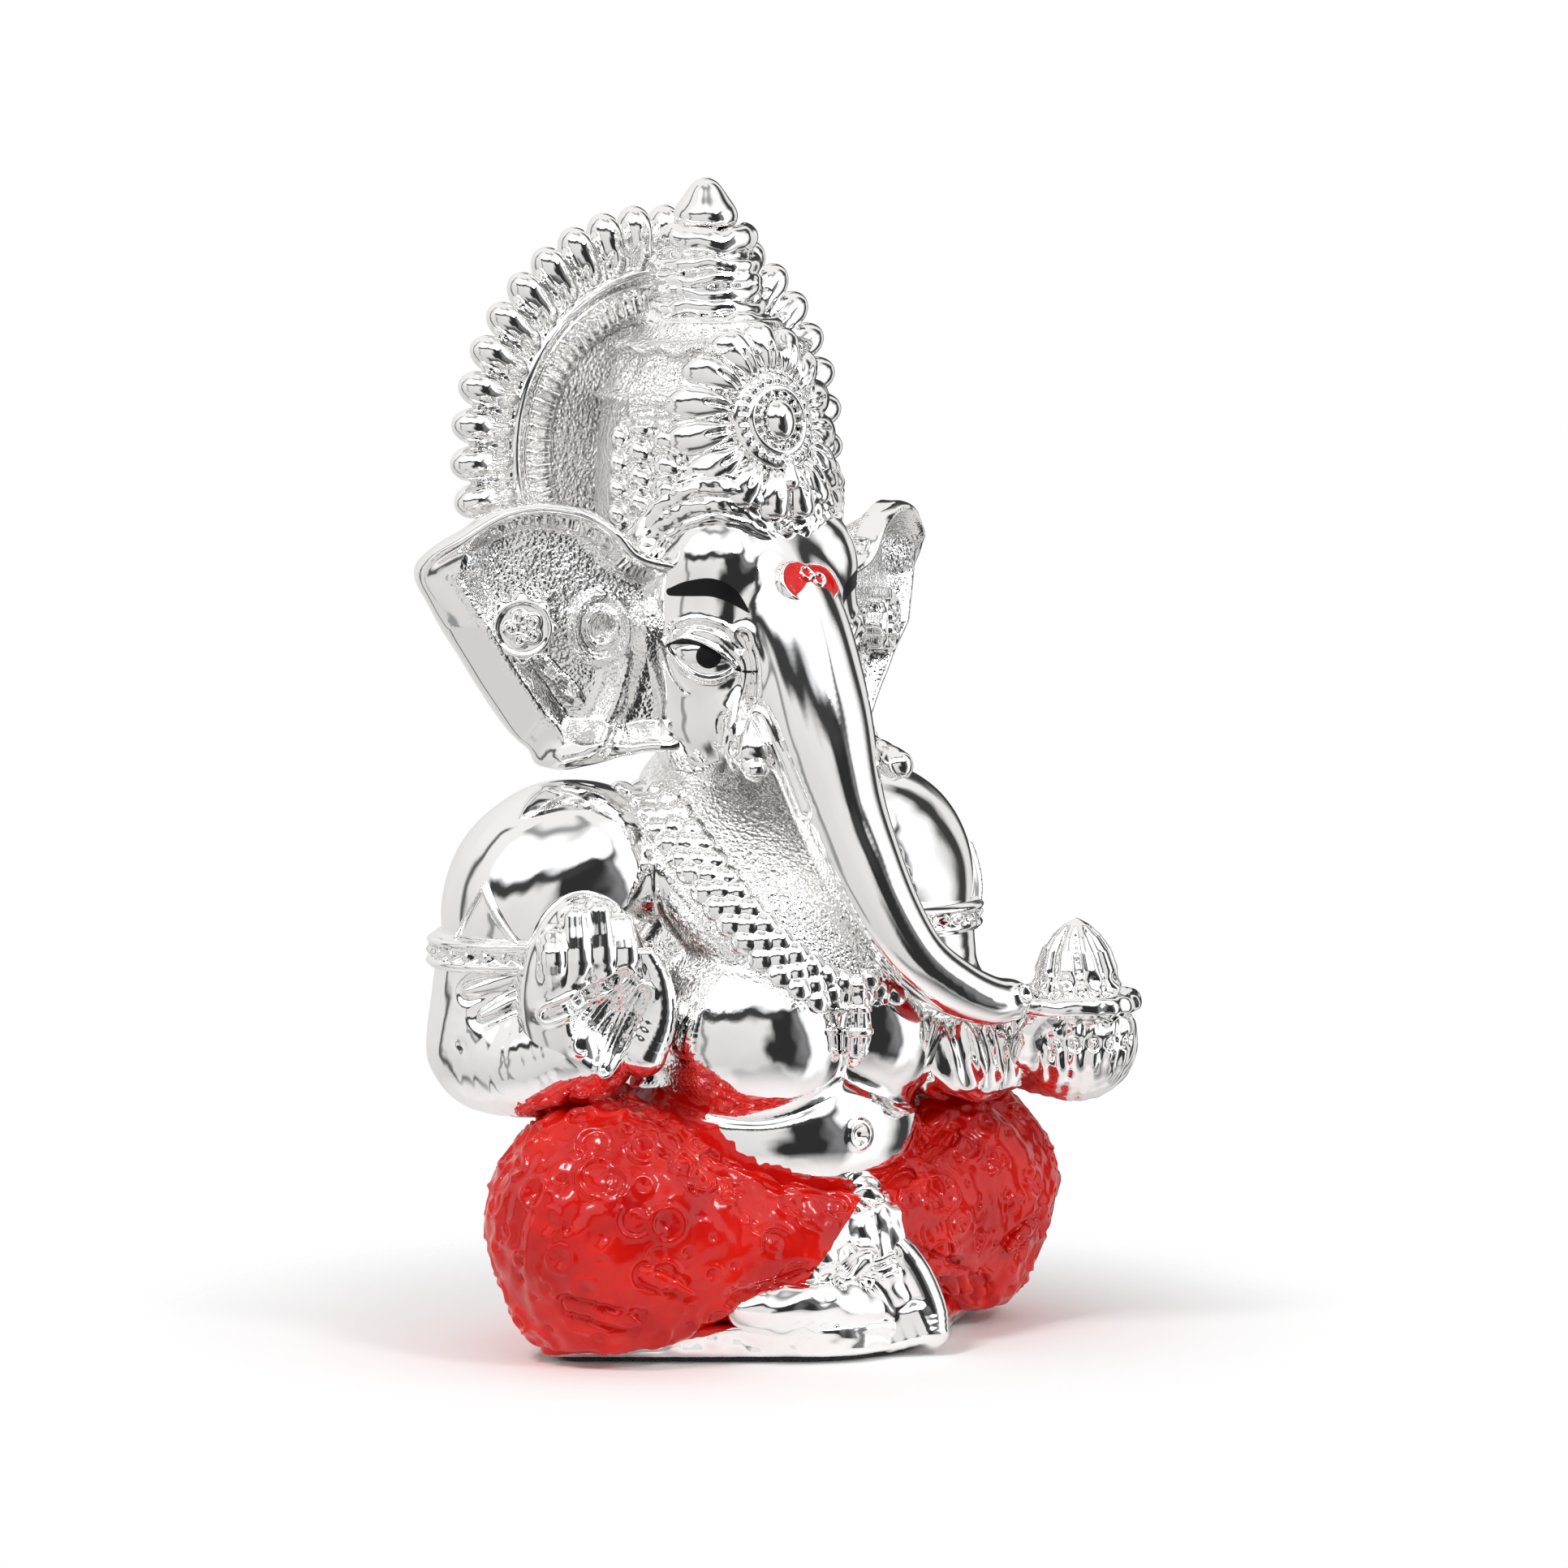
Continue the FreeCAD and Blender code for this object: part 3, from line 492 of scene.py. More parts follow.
def torso_grain(p):
    """Rough inside the necklace and beside it above the breast lobes, and faintly on the flanks."""
    q = mirrored(p)
    away = line_distance(q, NECKLACE_LINE, 6.0)
    inside = q[:, 0] < necklace_half_width(p[:, 2])
    bib = np.where(inside, 0.62, 0.9 * step_up(-away, -3.4, -2.0))
    above = step_up(p[:, 2], 29.0, 33.0) * (p[:, 1] < 4)
    beside = swell(length(q - np.array([11.0, -9.6, 34.2], p.dtype)), 3.4)
    flank = swell(length(q - np.array([13.0, -9.0, 22.5], p.dtype)), 3.0)
    return np.maximum(bib * above, np.maximum(0.8 * beside, 0.5 * flank))


def torso_lacquer(p):
    """Lacquer that ran onto the belly from the garment, in streaks."""
    garment = leg_mass(mirrored(p))
    flank = 1.2 * step_up(np.abs(p[:, 0]), 9, 13) * step_up(-p[:, 2], -25, -22)
    return np.clip(1.7 + 0.45 * lumps(p, 1.5, 12) + flank - garment, 0, 2)


def lacquer_edge(p):
    """Height of the lacquer's lower edge around the legs: it climbs towards the crossed shins."""
    across = math.cos(VIEW_AZIMUTH) * p[:, 0] + math.sin(VIEW_AZIMUTH) * p[:, 1]
    right = np.interp(across, [-16, -9, -2, 4.5, 7.5, 10, 12], [0.5, 1.3, 2.3, 4.6, 8.3, 11.7, 14.5])
    left = np.interp(across, [16, 24], [2.2, 0.7])
    front = step_up(-p[:, 1], -2.0, 2.0)
    return np.where(p[:, 0] < 3.0, right, left) * front + 1.0 * (1 - front)


MOTIFS = []


def scatter_motifs():
    """Embroidered flowers and rings pressed into the garment: a direction, a radius and a depth."""
    rng = np.random.default_rng(11)
    golden = math.pi * (3 - math.sqrt(5))
    count = 260
    for number in range(count):
        height = 1 - 2 * (number + 0.5) / count
        turn = number * golden
        spot = np.array([math.sqrt(1 - height ** 2) * math.cos(turn),
                         math.sqrt(1 - height ** 2) * math.sin(turn), height])
        spot += rng.normal(size=3) * 0.05
        gap = rng.normal(size=3)
        MOTIFS.append((spot / np.linalg.norm(spot), gap / np.linalg.norm(gap),
                       rng.uniform(0.045, 0.13), rng.uniform(0.5, 1.0), number % 3))


def embroidery(q, centre):
    """Relief of the garment's motifs, seen from the knee's centre: rings, scales and dots."""
    away = q - np.asarray(centre, q.dtype)
    away = away / np.maximum(length(away), 1e-3)[:, None]
    relief = np.zeros(len(q), q.dtype)
    for spot, gap, radius, depth, kind in MOTIFS:
        offset = away - spot.astype(q.dtype)
        angle = length(offset)
        close = angle < radius * 2.0 + 0.02
        near = angle[close]
        if kind == 0:
            mark = swell(near - radius, 0.022) - 1.3 * swell(near, radius * 0.4)
        elif kind == 1:
            side = offset[close] @ gap.astype(q.dtype)
            mark = 1.2 * swell(near - radius, 0.024) * step_up(side, -0.01, 0.02) - 0.8 * swell(near - radius + 0.03, 0.02)
        else:
            mark = -1.5 * swell(near, 0.026)
        relief[close] += depth * mark
    return relief


def leg_mass(q):
    """A folded leg on the figure's left; the right one is its mirror image."""
    f = ellipsoid(q, (17.7, -6.4, 11.8), (10.6, 10.4, 10.6))
    f = melt(f, ellipsoid(q, (10.0, 3.8, 11.2), (10.4, 8.8, 9.8)), 3.0)
    shin = [(18.2, -6.4, 11.4, 9.2), (11.5, -11.0, 10.2, 7.6), (5.5, -14.4, 9.4, 6.0), (0.8, -16.4, 9.6, 4.4)]
    f = melt(f, chain(q, shin), 2.5)
    return melt(f, ellipsoid(q, (17.4, -6.2, 4.6), (8.2, 8.6, 6.0)), 2.0)


FOLDS = [curve(line) for line in (
    [(25.5, -11.0, 6.0), (19.0, -16.0, 3.6), (11.0, -18.0, 3.4), (5.0, -19.4, 5.0), (1.0, -20.4, 8.2)],
    [(21.0, -15.5, 8.6), (15.0, -18.0, 6.0), (9.0, -18.6, 6.4), (3.0, -19.6, 9.0)],
    [(13.0, -14.0, 17.0), (7.0, -15.8, 14.0), (2.5, -18.0, 13.0)],
    [(22.0, -2.0, 21.0), (15.0, -8.0, 19.5), (9.0, -12.0, 16.0)])]
PLEATS = [curve([(6.0 + 1.9 * n, -13.4 + 0.6 * n, 16.4 + 0.6 * n), (7.4 + 1.9 * n, -15.6 + 0.7 * n, 12.0),
                 (9.6 + 1.9 * n, -16.8 + 0.8 * n, 7.0), (12.4 + 1.9 * n, -16.4 + n, 3.4)]) for n in range(3)]


def leg(p, side):
    q = mirrored(p)
    f = leg_mass(q) - 0.27 * embroidery(p, (side * 14.5, -6.0, 11.0))
    f = f - 0.12 * lumps(p, 2.6, 7) - 0.16 * lumps(p, 4.5, 5) - 0.30 * lumps(p, 11.0, 6)
    for fold in FOLDS if side < 0 else FOLDS[1:] + PLEATS:
        away = line_distance(q, fold)
        f = f - 0.50 * swell(away, 0.55) + 0.45 * swell(away - 0.95, 0.35)
    return keep(f, 1.2 - p[:, 2], 0.5)


def right_leg(p):
    return keep(leg(p, -1), p[:, 0] - 0.4, 0.3)


def left_leg(p):
    # The left shin lies under the right one.
    return keep(leg(p, 1), 0.2 - p[:, 0], 0.3)


def leg_lacquer(p):
    return np.clip(1 + p[:, 2] - lacquer_edge(p), 0, 2)


def base_distance(p):
    """A plate with a rounded five-sided footprint, wider at the back."""
    q = mirrored(p)
    corners = [((24.6, -5.6), (11.5, 13.0)), ((4.5, -21.5), (24.6, -5.6))]
    f = np.maximum(q[:, 1] - 13.0, -21.5 - q[:, 1])
    for (ax, ay), (bx, by) in corners:
        run, rise = bx - ax, by - ay
        size = math.hypot(run, rise)
        side = ((q[:, 0] - ax) * rise - (q[:, 1] - ay) * run) / size
        f = -melt(-f, -side * (1 if rise * bx > 0 else 1), 2.0)
    return f


def base_plate(p):
    f = base_distance(p) + 0.10 * lumps(p, 6.0, 8) + 0.05 * lumps(p, 1.8, 9)
    f = keep(f, np.abs(p[:, 2] - 1.85) - 1.35, 0.5)
    plug = np.maximum(np.hypot(p[:, 0], p[:, 1] - 1.0) - 6.0, 0.0)
    return np.where(plug > 0, f, np.maximum(f, 1.0))


def base_lacquer(p):
    return np.clip(1 + p[:, 2] - lacquer_edge(p), 0, 2)


# The pad sits set in from the base's edge; its black rim is partly a painted shadow line in the gap under the base.
def felt_pad(p):
    return keep(base_distance(p) + 1.4, np.abs(p[:, 2] - 0.25) - 0.25, 0.15)


# ---------------------------------------------------------------- feet

def left_foot(p):
    # The smooth shank curves down to the big toe; a crumpled hem and the small toes lie inside it.
    shank = [(-2.1, -17.2, 10.4, 1.3), (1.4, -18.4, 10.0, 1.7), (3.7, -19.9, 7.4, 1.8), (5.0, -20.9, 3.9, 1.8),
             (4.9, -21.9, 1.8, 1.5)]
    f = chain(p, shank)
    hem = ellipsoid(p, (1.2, -18.4, 5.6), (3.2, 2.9, 4.8))
    for number in range(5):
        start = np.array([-1.4 + 0.5 * number, -20.2 - 0.3 * number, 7.8 - 0.5 * number])
        away = line_distance(p, [start, start + np.array([1.6, -1.0, -1.8 - 0.4 * number])])
        hem = hem + 0.55 * swell(away, 0.36)
    hem = hem - 0.30 * lumps(p, 2.4, 4)
    f = melt(f, hem, 0.5)
    for number in range(4):
        across = number - 1.5
        root = np.array([2.3 + 0.9 * across, -20.6 - 0.55 * across, 3.2 + 0.25 * across])
        tip = root + np.array([0.3, -0.9, -1.7])
        f = melt(f, capsule(p, root, tip, 1.1, 0.85), 0.5)
    anklet = [(-1.8, -18.8, 9.0), (-0.4, -20.2, 8.3), (1.6, -20.8, 8.8)]
    for drop in (0.0, 1.0):
        away = line_distance(p, curve(np.array(anklet) - [0, 0, drop]))
        f = f - 0.30 * swell(away, 0.3) + 0.2 * swell(away - 0.5, 0.2)
    return keep(f, 0.1 - p[:, 2], 0.3)


def right_foot(p):
    f = ellipsoid(p, (-4.6, -16.6, 4.9), (8.4, 4.6, 3.1))
    f = melt(f, ellipsoid(p, (-1.6, -18.6, 3.6), (5.0, 2.6, 2.4)), 1.5)
    for number in range(4):
        away = line_distance(p, [(-8.4 + 1.3 * number, -20.6, 3.2), (-7.4 + 1.3 * number, -17.6, 6.8)])
        f = f + 0.22 * swell(away, 0.35)
    f = f + 0.08 * lumps(p, 3.0, 14)
    return keep(f, 1.4 - p[:, 2], 0.4)


def front_pleat(p):
    f = ellipsoid(p, (1.4, -16.6, 12.6), (2.0, 2.2, 3.0))
    for number in range(3):
        away = line_distance(p, [(0.2 + 1.1 * number, -19.0, 14.6), (1.0 + 0.8 * number, -19.4, 10.4)])
        f = f + 0.28 * swell(away, 0.3)
    return f - 0.2 * lumps(p, 2.0, 21)


# ---------------------------------------------------------------- arms and hands

def upper_arm(p):
    """Below the armlet, on the figure's left, down to the elbow."""
    f = chain(p, [(20.9, 2.8, 37.0, 6.4), (22.3, 3.0, 31.0, 6.0), (22.9, 3.2, 26.6, 5.7)])
    return keep(f, p[:, 2] - ARMLET_HEIGHT - 0.4, 0.3)


def sleeve_creases(q):
    relief = np.zeros(len(q), q.dtype)
    for start, end in (((27.6, -1.0, 29.6), (21.0, -4.4, 32.8)), ((28.0, 0.5, 31.6), (22.0, -4.0, 33.6)),
                       ((26.0, -2.0, 24.6), (22.4, -4.0, 21.8)), ((27.4, 1.0, 27.0), (25.6, -2.2, 23.4))):
        away = line_distance(q, [start, end])
        relief += 0.4 * swell(away, 0.45) - 0.3 * swell(away - 0.8, 0.35)
    return relief


def right_arm(p):
    q = mirrored(p)
    f = upper_arm(q)
    lower = chain(q, [(22.9, 3.0, 26.4, 5.6), (22.6, -1.4, 25.6, 5.1), (21.6, -5.0, 26.6, 4.2)])
    f = melt(f, lower, 1.5)
    return f - sleeve_creases(q) * 0.8 + 0.05 * lumps(p, 3.0, 31)


def left_arm(p):
    f = upper_arm(p)
    lower = [(22.9, 3.0, 26.4, 5.6), (23.2, -4.0, 24.8, 5.0), (22.4, -11.0, 24.6, 4.3), (21.8, -16.4, 24.6, 3.6)]
    f = melt(f, chain(p, lower), 1.5)
    # A crumpled cloth hangs over the forearm towards the belly.
    drape = ellipsoid(p, (15.6, -14.0, 24.9), (7.6, 4.9, 4.9))
    for number in range(5):
        away = line_distance(p, [(10.6 + 2.5 * number, -17.6, 29.6), (12.8 + 1.9 * number, -18.6, 20.6)], 2.4)
        drape = drape + 0.65 * swell(away, 0.7) - 0.25 * swell(away - 1.1, 0.4)
    drape = drape - 0.22 * lumps(p, 2.8, 33)
    return melt(f, drape, 0.8)


def armlet(q):
    """A beaded band with a pointed leaf above it, on the figure's left."""
    host = np.minimum(torso_mass(q), upper_arm(q))
    band = np.abs(q[:, 2] - ARMLET_HEIGHT) - 1.0
    height = 0.75 * swell(q[:, 2] - ARMLET_HEIGHT - 0.9, 0.5) + 0.6 * swell(q[:, 2] - ARMLET_HEIGHT + 0.9, 0.45)
    turn = np.arctan2(q[:, 1] - 2.8, q[:, 0] - 21.0)
    pitch = math.radians(13)
    bead = np.hypot((np.mod(turn, pitch) - pitch / 2) * 6.8, q[:, 2] - ARMLET_HEIGHT)
    height = height + 0.7 * swell(bead, 0.42)
    # The leaf faces forward and outward.
    front = turn - math.radians(-28)
    rise = 6.4 * np.clip(1 - np.abs(front) / 0.72, 0, 1) ** 1.3
    leaf = np.maximum(q[:, 2] - ARMLET_HEIGHT - rise, ARMLET_HEIGHT - q[:, 2])
    rim = swell(leaf + 0.45, 0.35)
    f = np.minimum(host - 0.25 - height + 2.5 * np.maximum(band, 0) ** 2, 99)
    region = np.minimum(band - 0.5, leaf)
    f = np.minimum(keep(host - 0.25 - height, band - 0.5, 0.2), keep(host - 0.35 - 0.45 * rim, leaf, 0.25))
    away = 14.5 - q[:, 0]
    f = keep(f, -(host + 1.2), 0.2)
    del region
    return keep(f, away, 0.2)


def right_armlet(p):
    return keep(armlet(mirrored(p)), p[:, 0], 0.1)


def left_armlet(p):
    return keep(armlet(mirrored(p)), -p[:, 0], 0.1)


HAND_CENTRE = (-20.6, -7.4, 32.0)
HAND_AXES = axes((-0.35, -0.94, 0.0))


def right_hand(p):
    """Raised hand: a plump mitt with a hollow palm, four short joined fingers and the thumb as its right rim."""
    s, w, n = patch(p, HAND_CENTRE, HAND_AXES)
    q = np.stack([s, w, n], axis=1)
    f = ellipsoid(q, (-0.2, -0.9, -1.4), (5.9, 9.2, 4.7))
    hollow = ellipsoid(q, (0.9, -2.0, 4.5), (4.0, 5.6, 3.6))
    f = carve(f, hollow, 0.6)
    fingers = None
    for across, top in ((-3.9, 4.4), (-1.8, 6.2), (0.4, 6.6), (2.5, 5.4)):
        finger = chain(q, [(across * 0.92, -0.2, 0.9, 1.0), (across, 2.8, 2.0, 1.25), (across * 0.95, top, 1.2, 1.15)])
        fingers = finger if fingers is None else melt(fingers, finger, 0.30)
    f = melt(f, fingers, 0.6)
    thumb = chain(q, [(4.3, 3.0, 2.2, 0.75), (5.3, 0.8, 2.2, 1.15), (5.4, -2.4, 1.8, 1.6), (4.2, -5.4, 1.0, 2.2)])
    f = melt(f, thumb, 0.35)
    flat = np.stack([s, w, 0 * s], axis=1)
    front = step_up(n, -0.5, 0.5)
    for line in PALM_LINES:
        away = line_distance(flat, line)
        f = f + (0.50 * swell(away, 0.34) - 0.22 * swell(away - 0.75, 0.32)) * front
    return f


PALM_LINES = [curve([(*point, 0.0) for point in line]) for line in (
    [(0.6, -6.6), (2.2, -3.6), (3.8, -0.2)], [(-1.6, -4.4), (0.4, -2.0), (3.0, 0.9)],
    [(-4.4, -1.8), (-1.4, -0.4), (2.2, 1.4)])]


def right_hand_grain(p):
    s, w, n = patch(p, HAND_CENTRE, HAND_AXES)
    return 0.15 * step_up(-np.hypot((s - 0.2) / 4.2, (w + 1.8) / 3.8), -1.0, -0.6) * step_up(n, 0, 1)


def left_hand(p):
    """An upturned hand, cupped under the dish, with four long joined fingers in front."""
    f = ellipsoid(p, (22.0, -20.3, 25.5), (5.4, 5.8, 5.3))
    f = melt(f, ellipsoid(p, (21.6, -15.8, 24.8), (4.4, 4.0, 4.2)), 2.0)
    s, w, n = patch(p, (22.0, -20.3, 25.5), axes((-0.45, -0.89, 0)))
    front = step_up(n, 1.0, 2.4)
    # Fingers are parted by grooves that converge under the palm.
    spread = s / np.clip(1.0 + 0.05 * (w - 2.0), 0.5, 1.2)
    finger = np.mod(spread + 0.4, 1.75) - 0.875
    across = (np.abs(spread) < 4.6) * front
    f = f - 0.32 * (np.cos(finger * 2 * math.pi / 1.75) * 0.5 + 0.5) * across * step_up(w, -3.8, -1.2)
    knuckle = np.hypot(finger, np.mod(w + 0.9, 2.6) - 1.3)
    f = f + 0.28 * swell(knuckle - 0.5, 0.22) * across * step_up(w, -1.6, -0.8)
    thumb = chain(np.stack([s, w, n], axis=1), [(-4.6, -0.6, 2.4, 1.6), (-4.2, 2.0, 3.6, 1.3), (-2.6, 3.4, 4.6, 0.9)])
    f = melt(f, thumb, 0.4)
    f = f + 0.08 * lumps(p, 1.7, 51)
    return keep(f, p[:, 2] - 29.4, 0.5)


DISH = np.array([21.0, -20.6])


def dish(p):
    r = np.hypot(p[:, 0] - DISH[0], p[:, 1] - DISH[1])
    bowl = ellipsoid(np.stack([r, 0 * r, p[:, 2]], axis=1), (0, 0, 29.6), (6.0, 6.0, 2.2))
    bowl = keep(bowl, p[:, 2] - 29.5, 0.3)
    lip = np.hypot(r - 5.7, (p[:, 2] - 29.0) / 1.25) - 0.74
    f = melt(bowl, lip, 0.4)
    groove = np.hypot(r - 6.1, p[:, 2] - 28.1)
    return f + 0.25 * swell(groove, 0.35) + 0.07 * lumps(p, 2.0, 52)


def modak(p):
    """A pleated dumpling: deep flutes that close towards the pointed top, and a row of cells at its foot."""
    x, y, z = p[:, 0] - DISH[0] - 0.7, p[:, 1] - DISH[1] + 0.4, p[:, 2] - 29.2
    turn = np.arctan2(y, x) + 0.04 * z
    shape = np.interp(z, [-1, 0, 1.2, 2.8, 4.4, 5.6, 6.5, 7.1], [3.7, 3.8, 3.85, 3.6, 3.0, 2.1, 1.1, 0.0])
    f = (np.hypot(x, y) - shape) * 0.82
    flutes = np.abs(np.sin(turn * 4.5))
    f = f + 0.85 * (1 - flutes) ** 2 * step_up(-z, -6.6, -5.4) * step_up(z, 0.2, 1.0)
    cells = np.cos(z * 2.9) * np.cos(turn * 9)
    f = f - 0.22 * cells * step_up(-z, -3.0, -1.8)
    return keep(f, -z, 0.2)


# ---------------------------------------------------------------- head and trunk

TRUNK = [(0.0, -4.6, 66.4, 4.8), (0.0, -7.6, 62.6, 5.2), (0.0, -9.8, 58.6, 5.2), (0.05, -12.2, 53.0, 4.9),
         (0.5, -14.8, 46.4, 4.0), (1.8, -17.7, 39.8, 3.4), (4.2, -19.9, 34.4, 2.8), (7.8, -21.2, 31.4, 2.5),
         (11.0, -21.8, 30.0, 2.2), (13.2, -22.0, 29.8, 1.9)]
EYE_CENTRE = (8.35, -6.75, 59.6)
EYE_AXES = axes((0.685, -0.68, -0.20))
TILAK_CENTRE = (0.0, -11.0, 65.7)
TILAK_AXES = axes((0, -0.86, 0.5))


def skull(p):
    q = mirrored(p)
    f = ellipsoid(p, (0, 0.6, 63.0), (10.4, 10.0, 11.0))
    f = melt(f, ellipsoid(q, (4.5, -3.4, 66.8), (5.3, 5.6, 5.6)), 1.6)
    f = melt(f, ellipsoid(q, (5.3, -3.4, 60.5), (5.0, 5.4, 6.5)), 1.6)
    return melt(f, ellipsoid(q, (4.8, -2.9, 55.2), (4.9, 5.5, 8.0)), 1.6)


def face_patch(p):
    """Coordinates towards the trunk, up and out from the eye, the same on both sides."""
    s, w, n = patch(mirrored(p), EYE_CENTRE, EYE_AXES)
    return -s, w, n


def lids(s):
    """Heights of the upper and lower lid at a place along the eye."""
    t = np.clip(s / 3.05, -1, 1)
    return 1.35 * (1 - t ** 2) - 0.30 * s, -1.55 * (1 - t ** 2) - 0.32 * s


def head(p):
    q = mirrored(p)
    f = melt(skull(p), chain(p, TRUNK, 14), 1.5)
    # Sheath of each tusk.
    f = melt(f, capsule(q, (4.9, -7.4, 54.6), (5.7, -10.4, 51.6), 2.3, 1.9), 1.2)
    s, w, n = face_patch(p)
    outer = step_up(n, -2.2, -0.8)
    upper, lower = lids(s)
    inside = step_up(np.minimum(upper - w, w - lower), -0.15, 0.25) * step_up(-np.abs(s), -3.1, -2.8)
    f = f + 0.25 * inside * outer
    span = step_up(-np.abs(s), -3.6, -2.9)
    f = f - (0.34 * swell(w - upper - 0.15, 0.30) + 0.28 * swell(w - lower + 0.15, 0.26)) * span * outer
    flat = np.stack([s, w, 0 * s], axis=1)
    away = line_distance(flat, curve([(-2.0, 2.3, 0), (-0.2, 2.8, 0), (1.9, 2.2, 0), (3.3, 0.6, 0)]))
    f = f + (0.22 * swell(away, 0.22) - 0.12 * swell(away - 0.5, 0.25)) * outer
    fold = line_distance(flat, curve([(3.6, 1.6, 0), (4.4, -0.6, 0), (4.3, -2.8, 0), (3.5, -5.2, 0), (3.1, -7.2, 0)]))
    f = f + (0.34 * swell(fold, 0.34) - 0.20 * swell(fold - 0.8, 0.4)) * outer
    bag = line_distance(flat, curve([(-3.0, 0.4, 0), (-2.3, -1.6, 0), (-1.2, -2.9, 0)]))
    f = f - 0.18 * swell(bag, 0.25) * outer
    for fold in FACE_FOLDS:
        away = line_distance(q, fold)
        f = f - 0.42 * swell(away, 0.42) + 0.30 * swell(away - 0.75, 0.30)
    # A crease between the cheek and the neck, and the tip's nostrils.
    tip = p - np.array([13.6, -23.5, 30.4], p.dtype)
    f = f + 0.5 * swell(length(tip), 0.5) - 0.25 * swell(length(tip) - 0.95, 0.25)
    return f + 0.035 * lumps(p, 7.0, 61)


FACE_FOLDS = [curve(line) for line in (
    [(5.2, -8.6, 55.0), (4.7, -11.0, 54.6), (4.4, -12.8, 51.6), (3.5, -14.6, 46.8)],
    [(6.6, -8.4, 54.0), (7.4, -9.0, 51.6), (6.8, -9.6, 49.4)])]


def head_ink(p):
    """Brow, upper lid line and pupil."""
    s, w, n = face_patch(p)
    flat = np.stack([s, w, 0 * s], axis=1)
    brow = curve([(-2.8, 5.2, 0.30), (-1.2, 5.7, 0.62), (0.9, 5.9, 0.78), (2.6, 5.2, 0.60), (4.1, 3.7, 0.10)])
    thick = np.interp(s, brow[:, 0], brow[:, 2])
    ink = thick - line_distance(flat, brow * [1, 1, 0])
    upper, _ = lids(s)
    ink = np.maximum(ink, np.interp(s, [-3.0, -1.5, 0.5, 3.0], [0.1, 0.34, 0.22, 0.12]) - np.abs(w - upper + 0.1))
    ink = np.where(np.abs(s) < 4.6, ink, -1)
    pupil = 1.08 - np.hypot(s - 0.75, w - 0.15)
    ink = np.maximum(ink, np.minimum(pupil, upper - w + 0.1))
    return np.where(n > -3.0, np.clip(1 + ink, 0, 2), 0)


def head_lacquer(p):
    """A stray line of lacquer under the trunk's edge."""
    away = line_distance(p, curve([(1.0, -13.6, 37.6), (2.6, -16.6, 32.6), (5.8, -19.6, 29.8), (10.6, -21.6, 28.2), (12.4, -22.0, 28.4)]), 3.0)
    return np.clip(1 + 0.55 - away * 0.5, 0, 2)


def head_grain(p):
    """Rough behind the cheeks."""
    return 0.8 * step_up(p[:, 1], -2.5, -0.5)


def head_ease(p):
    """Where the skin is smooth: the trunk away from its folds."""
    q = mirrored(p)
    folds = np.minimum(line_distance(q, FACE_FOLDS[0], 3.0), line_distance(q, FACE_FOLDS[1], 3.0))
    tip = length(p - np.array([13.6, -23.5, 30.4], p.dtype))
    face = step_up(np.abs(face_patch(p)[0]), 5.0, 6.0)
    return step_up(-p[:, 1], 7.0, 9.0) * step_up(folds, 1.0, 1.8) * step_up(tip, 2.0, 3.0) * np.where(p[:, 2] > 53, face, 1)


def eye(q):
    s, w, n = patch(q, EYE_CENTRE, EYE_AXES)
    s = -s
    ball = ellipsoid(np.stack([s, w, n], axis=1), (0.1, -0.1, -0.95), (2.9, 1.75, 1.5))
    return ball


def eye_pair(sign):
    def field(p):
        return keep(eye(mirrored(p)), -sign * p[:, 0], 0.1)
    return field


def eye_ink(p):
    s, w, n = face_patch(p)
    upper, _ = lids(s)
    return np.clip(1 + np.minimum(1.08 - np.hypot(s - 0.75, w - 0.15), upper - w + 0.2), 0, 2)


def tilak(p):
    s, w, n = patch(p, TILAK_CENTRE, TILAK_AXES)
    q = np.stack([s, w, n], axis=1)
    f = melt(ellipsoid(q, (-1.0, 0.1, -0.35), (2.1, 2.2, 0.95)), ellipsoid(q, (1.0, -0.1, -0.35), (2.1, 2.1, 0.95)), 0.3)
    rim = np.abs(tilak_flat(s, w) + 0.15)
    f = f - 0.22 * swell(rim, 0.25)
    for across, up in ((-0.35, 0.75), (0.75, 0.05)):
        f = f - 0.30 * swell(np.hypot(s - across, w - up) - 0.55, 0.22)
    return f


def tilak_flat(s, w):
    return np.minimum(np.hypot(s + 1.0, w - 0.1) - 2.05, np.hypot(s - 1.0, w + 0.1) - 2.0)


def tilak_lacquer(p):
    s, w, n = patch(p, TILAK_CENTRE, TILAK_AXES)
    bare = np.minimum(np.abs(np.hypot(s + 0.35, w - 0.75) - 0.55), np.abs(np.hypot(s - 0.75, w - 0.05) - 0.55)) - 0.17
    return np.clip(1 + np.minimum(-tilak_flat(s, w) - 0.28, bare), 0, 2)


def tusk(start, end, start_radius, end_radius):
    def field(p):
        f = capsule(p, start, end, start_radius, end_radius)
        return f + 0.05 * lumps(p, 1.6, 71)
    return field


# ---------------------------------------------------------------- ears

EAR_ROOT = np.array([9.6, -2.2, 0.0])
EAR_SWEEP = math.radians(28)
EAR_AXES = np.array([[math.cos(EAR_SWEEP), 0, math.sin(EAR_SWEEP)], [math.sin(EAR_SWEEP), 0, -math.cos(EAR_SWEEP)], [0, 1, 0]])
EAR_CORNERS = np.array([(-2.0, 67.5), (1.6, 68.4), (3.4, 70.3), (5.6, 71.9), (8.1, 72.7), (11.0, 72.9), (13.9, 72.2),
                        (17.1, 70.2), (19.8, 68.2), (20.5, 66.3), (19.3, 63.7), (16.0, 58.3), (12.4, 52.9),
                        (10.6, 51.2), (9.8, 49.8), (7.6, 49.6), (4.6, 50.4), (1.4, 51.2), (-2.0, 51.6),
                        (-3.2, 55.0), (-3.4, 60.0), (-3.2, 64.5)])
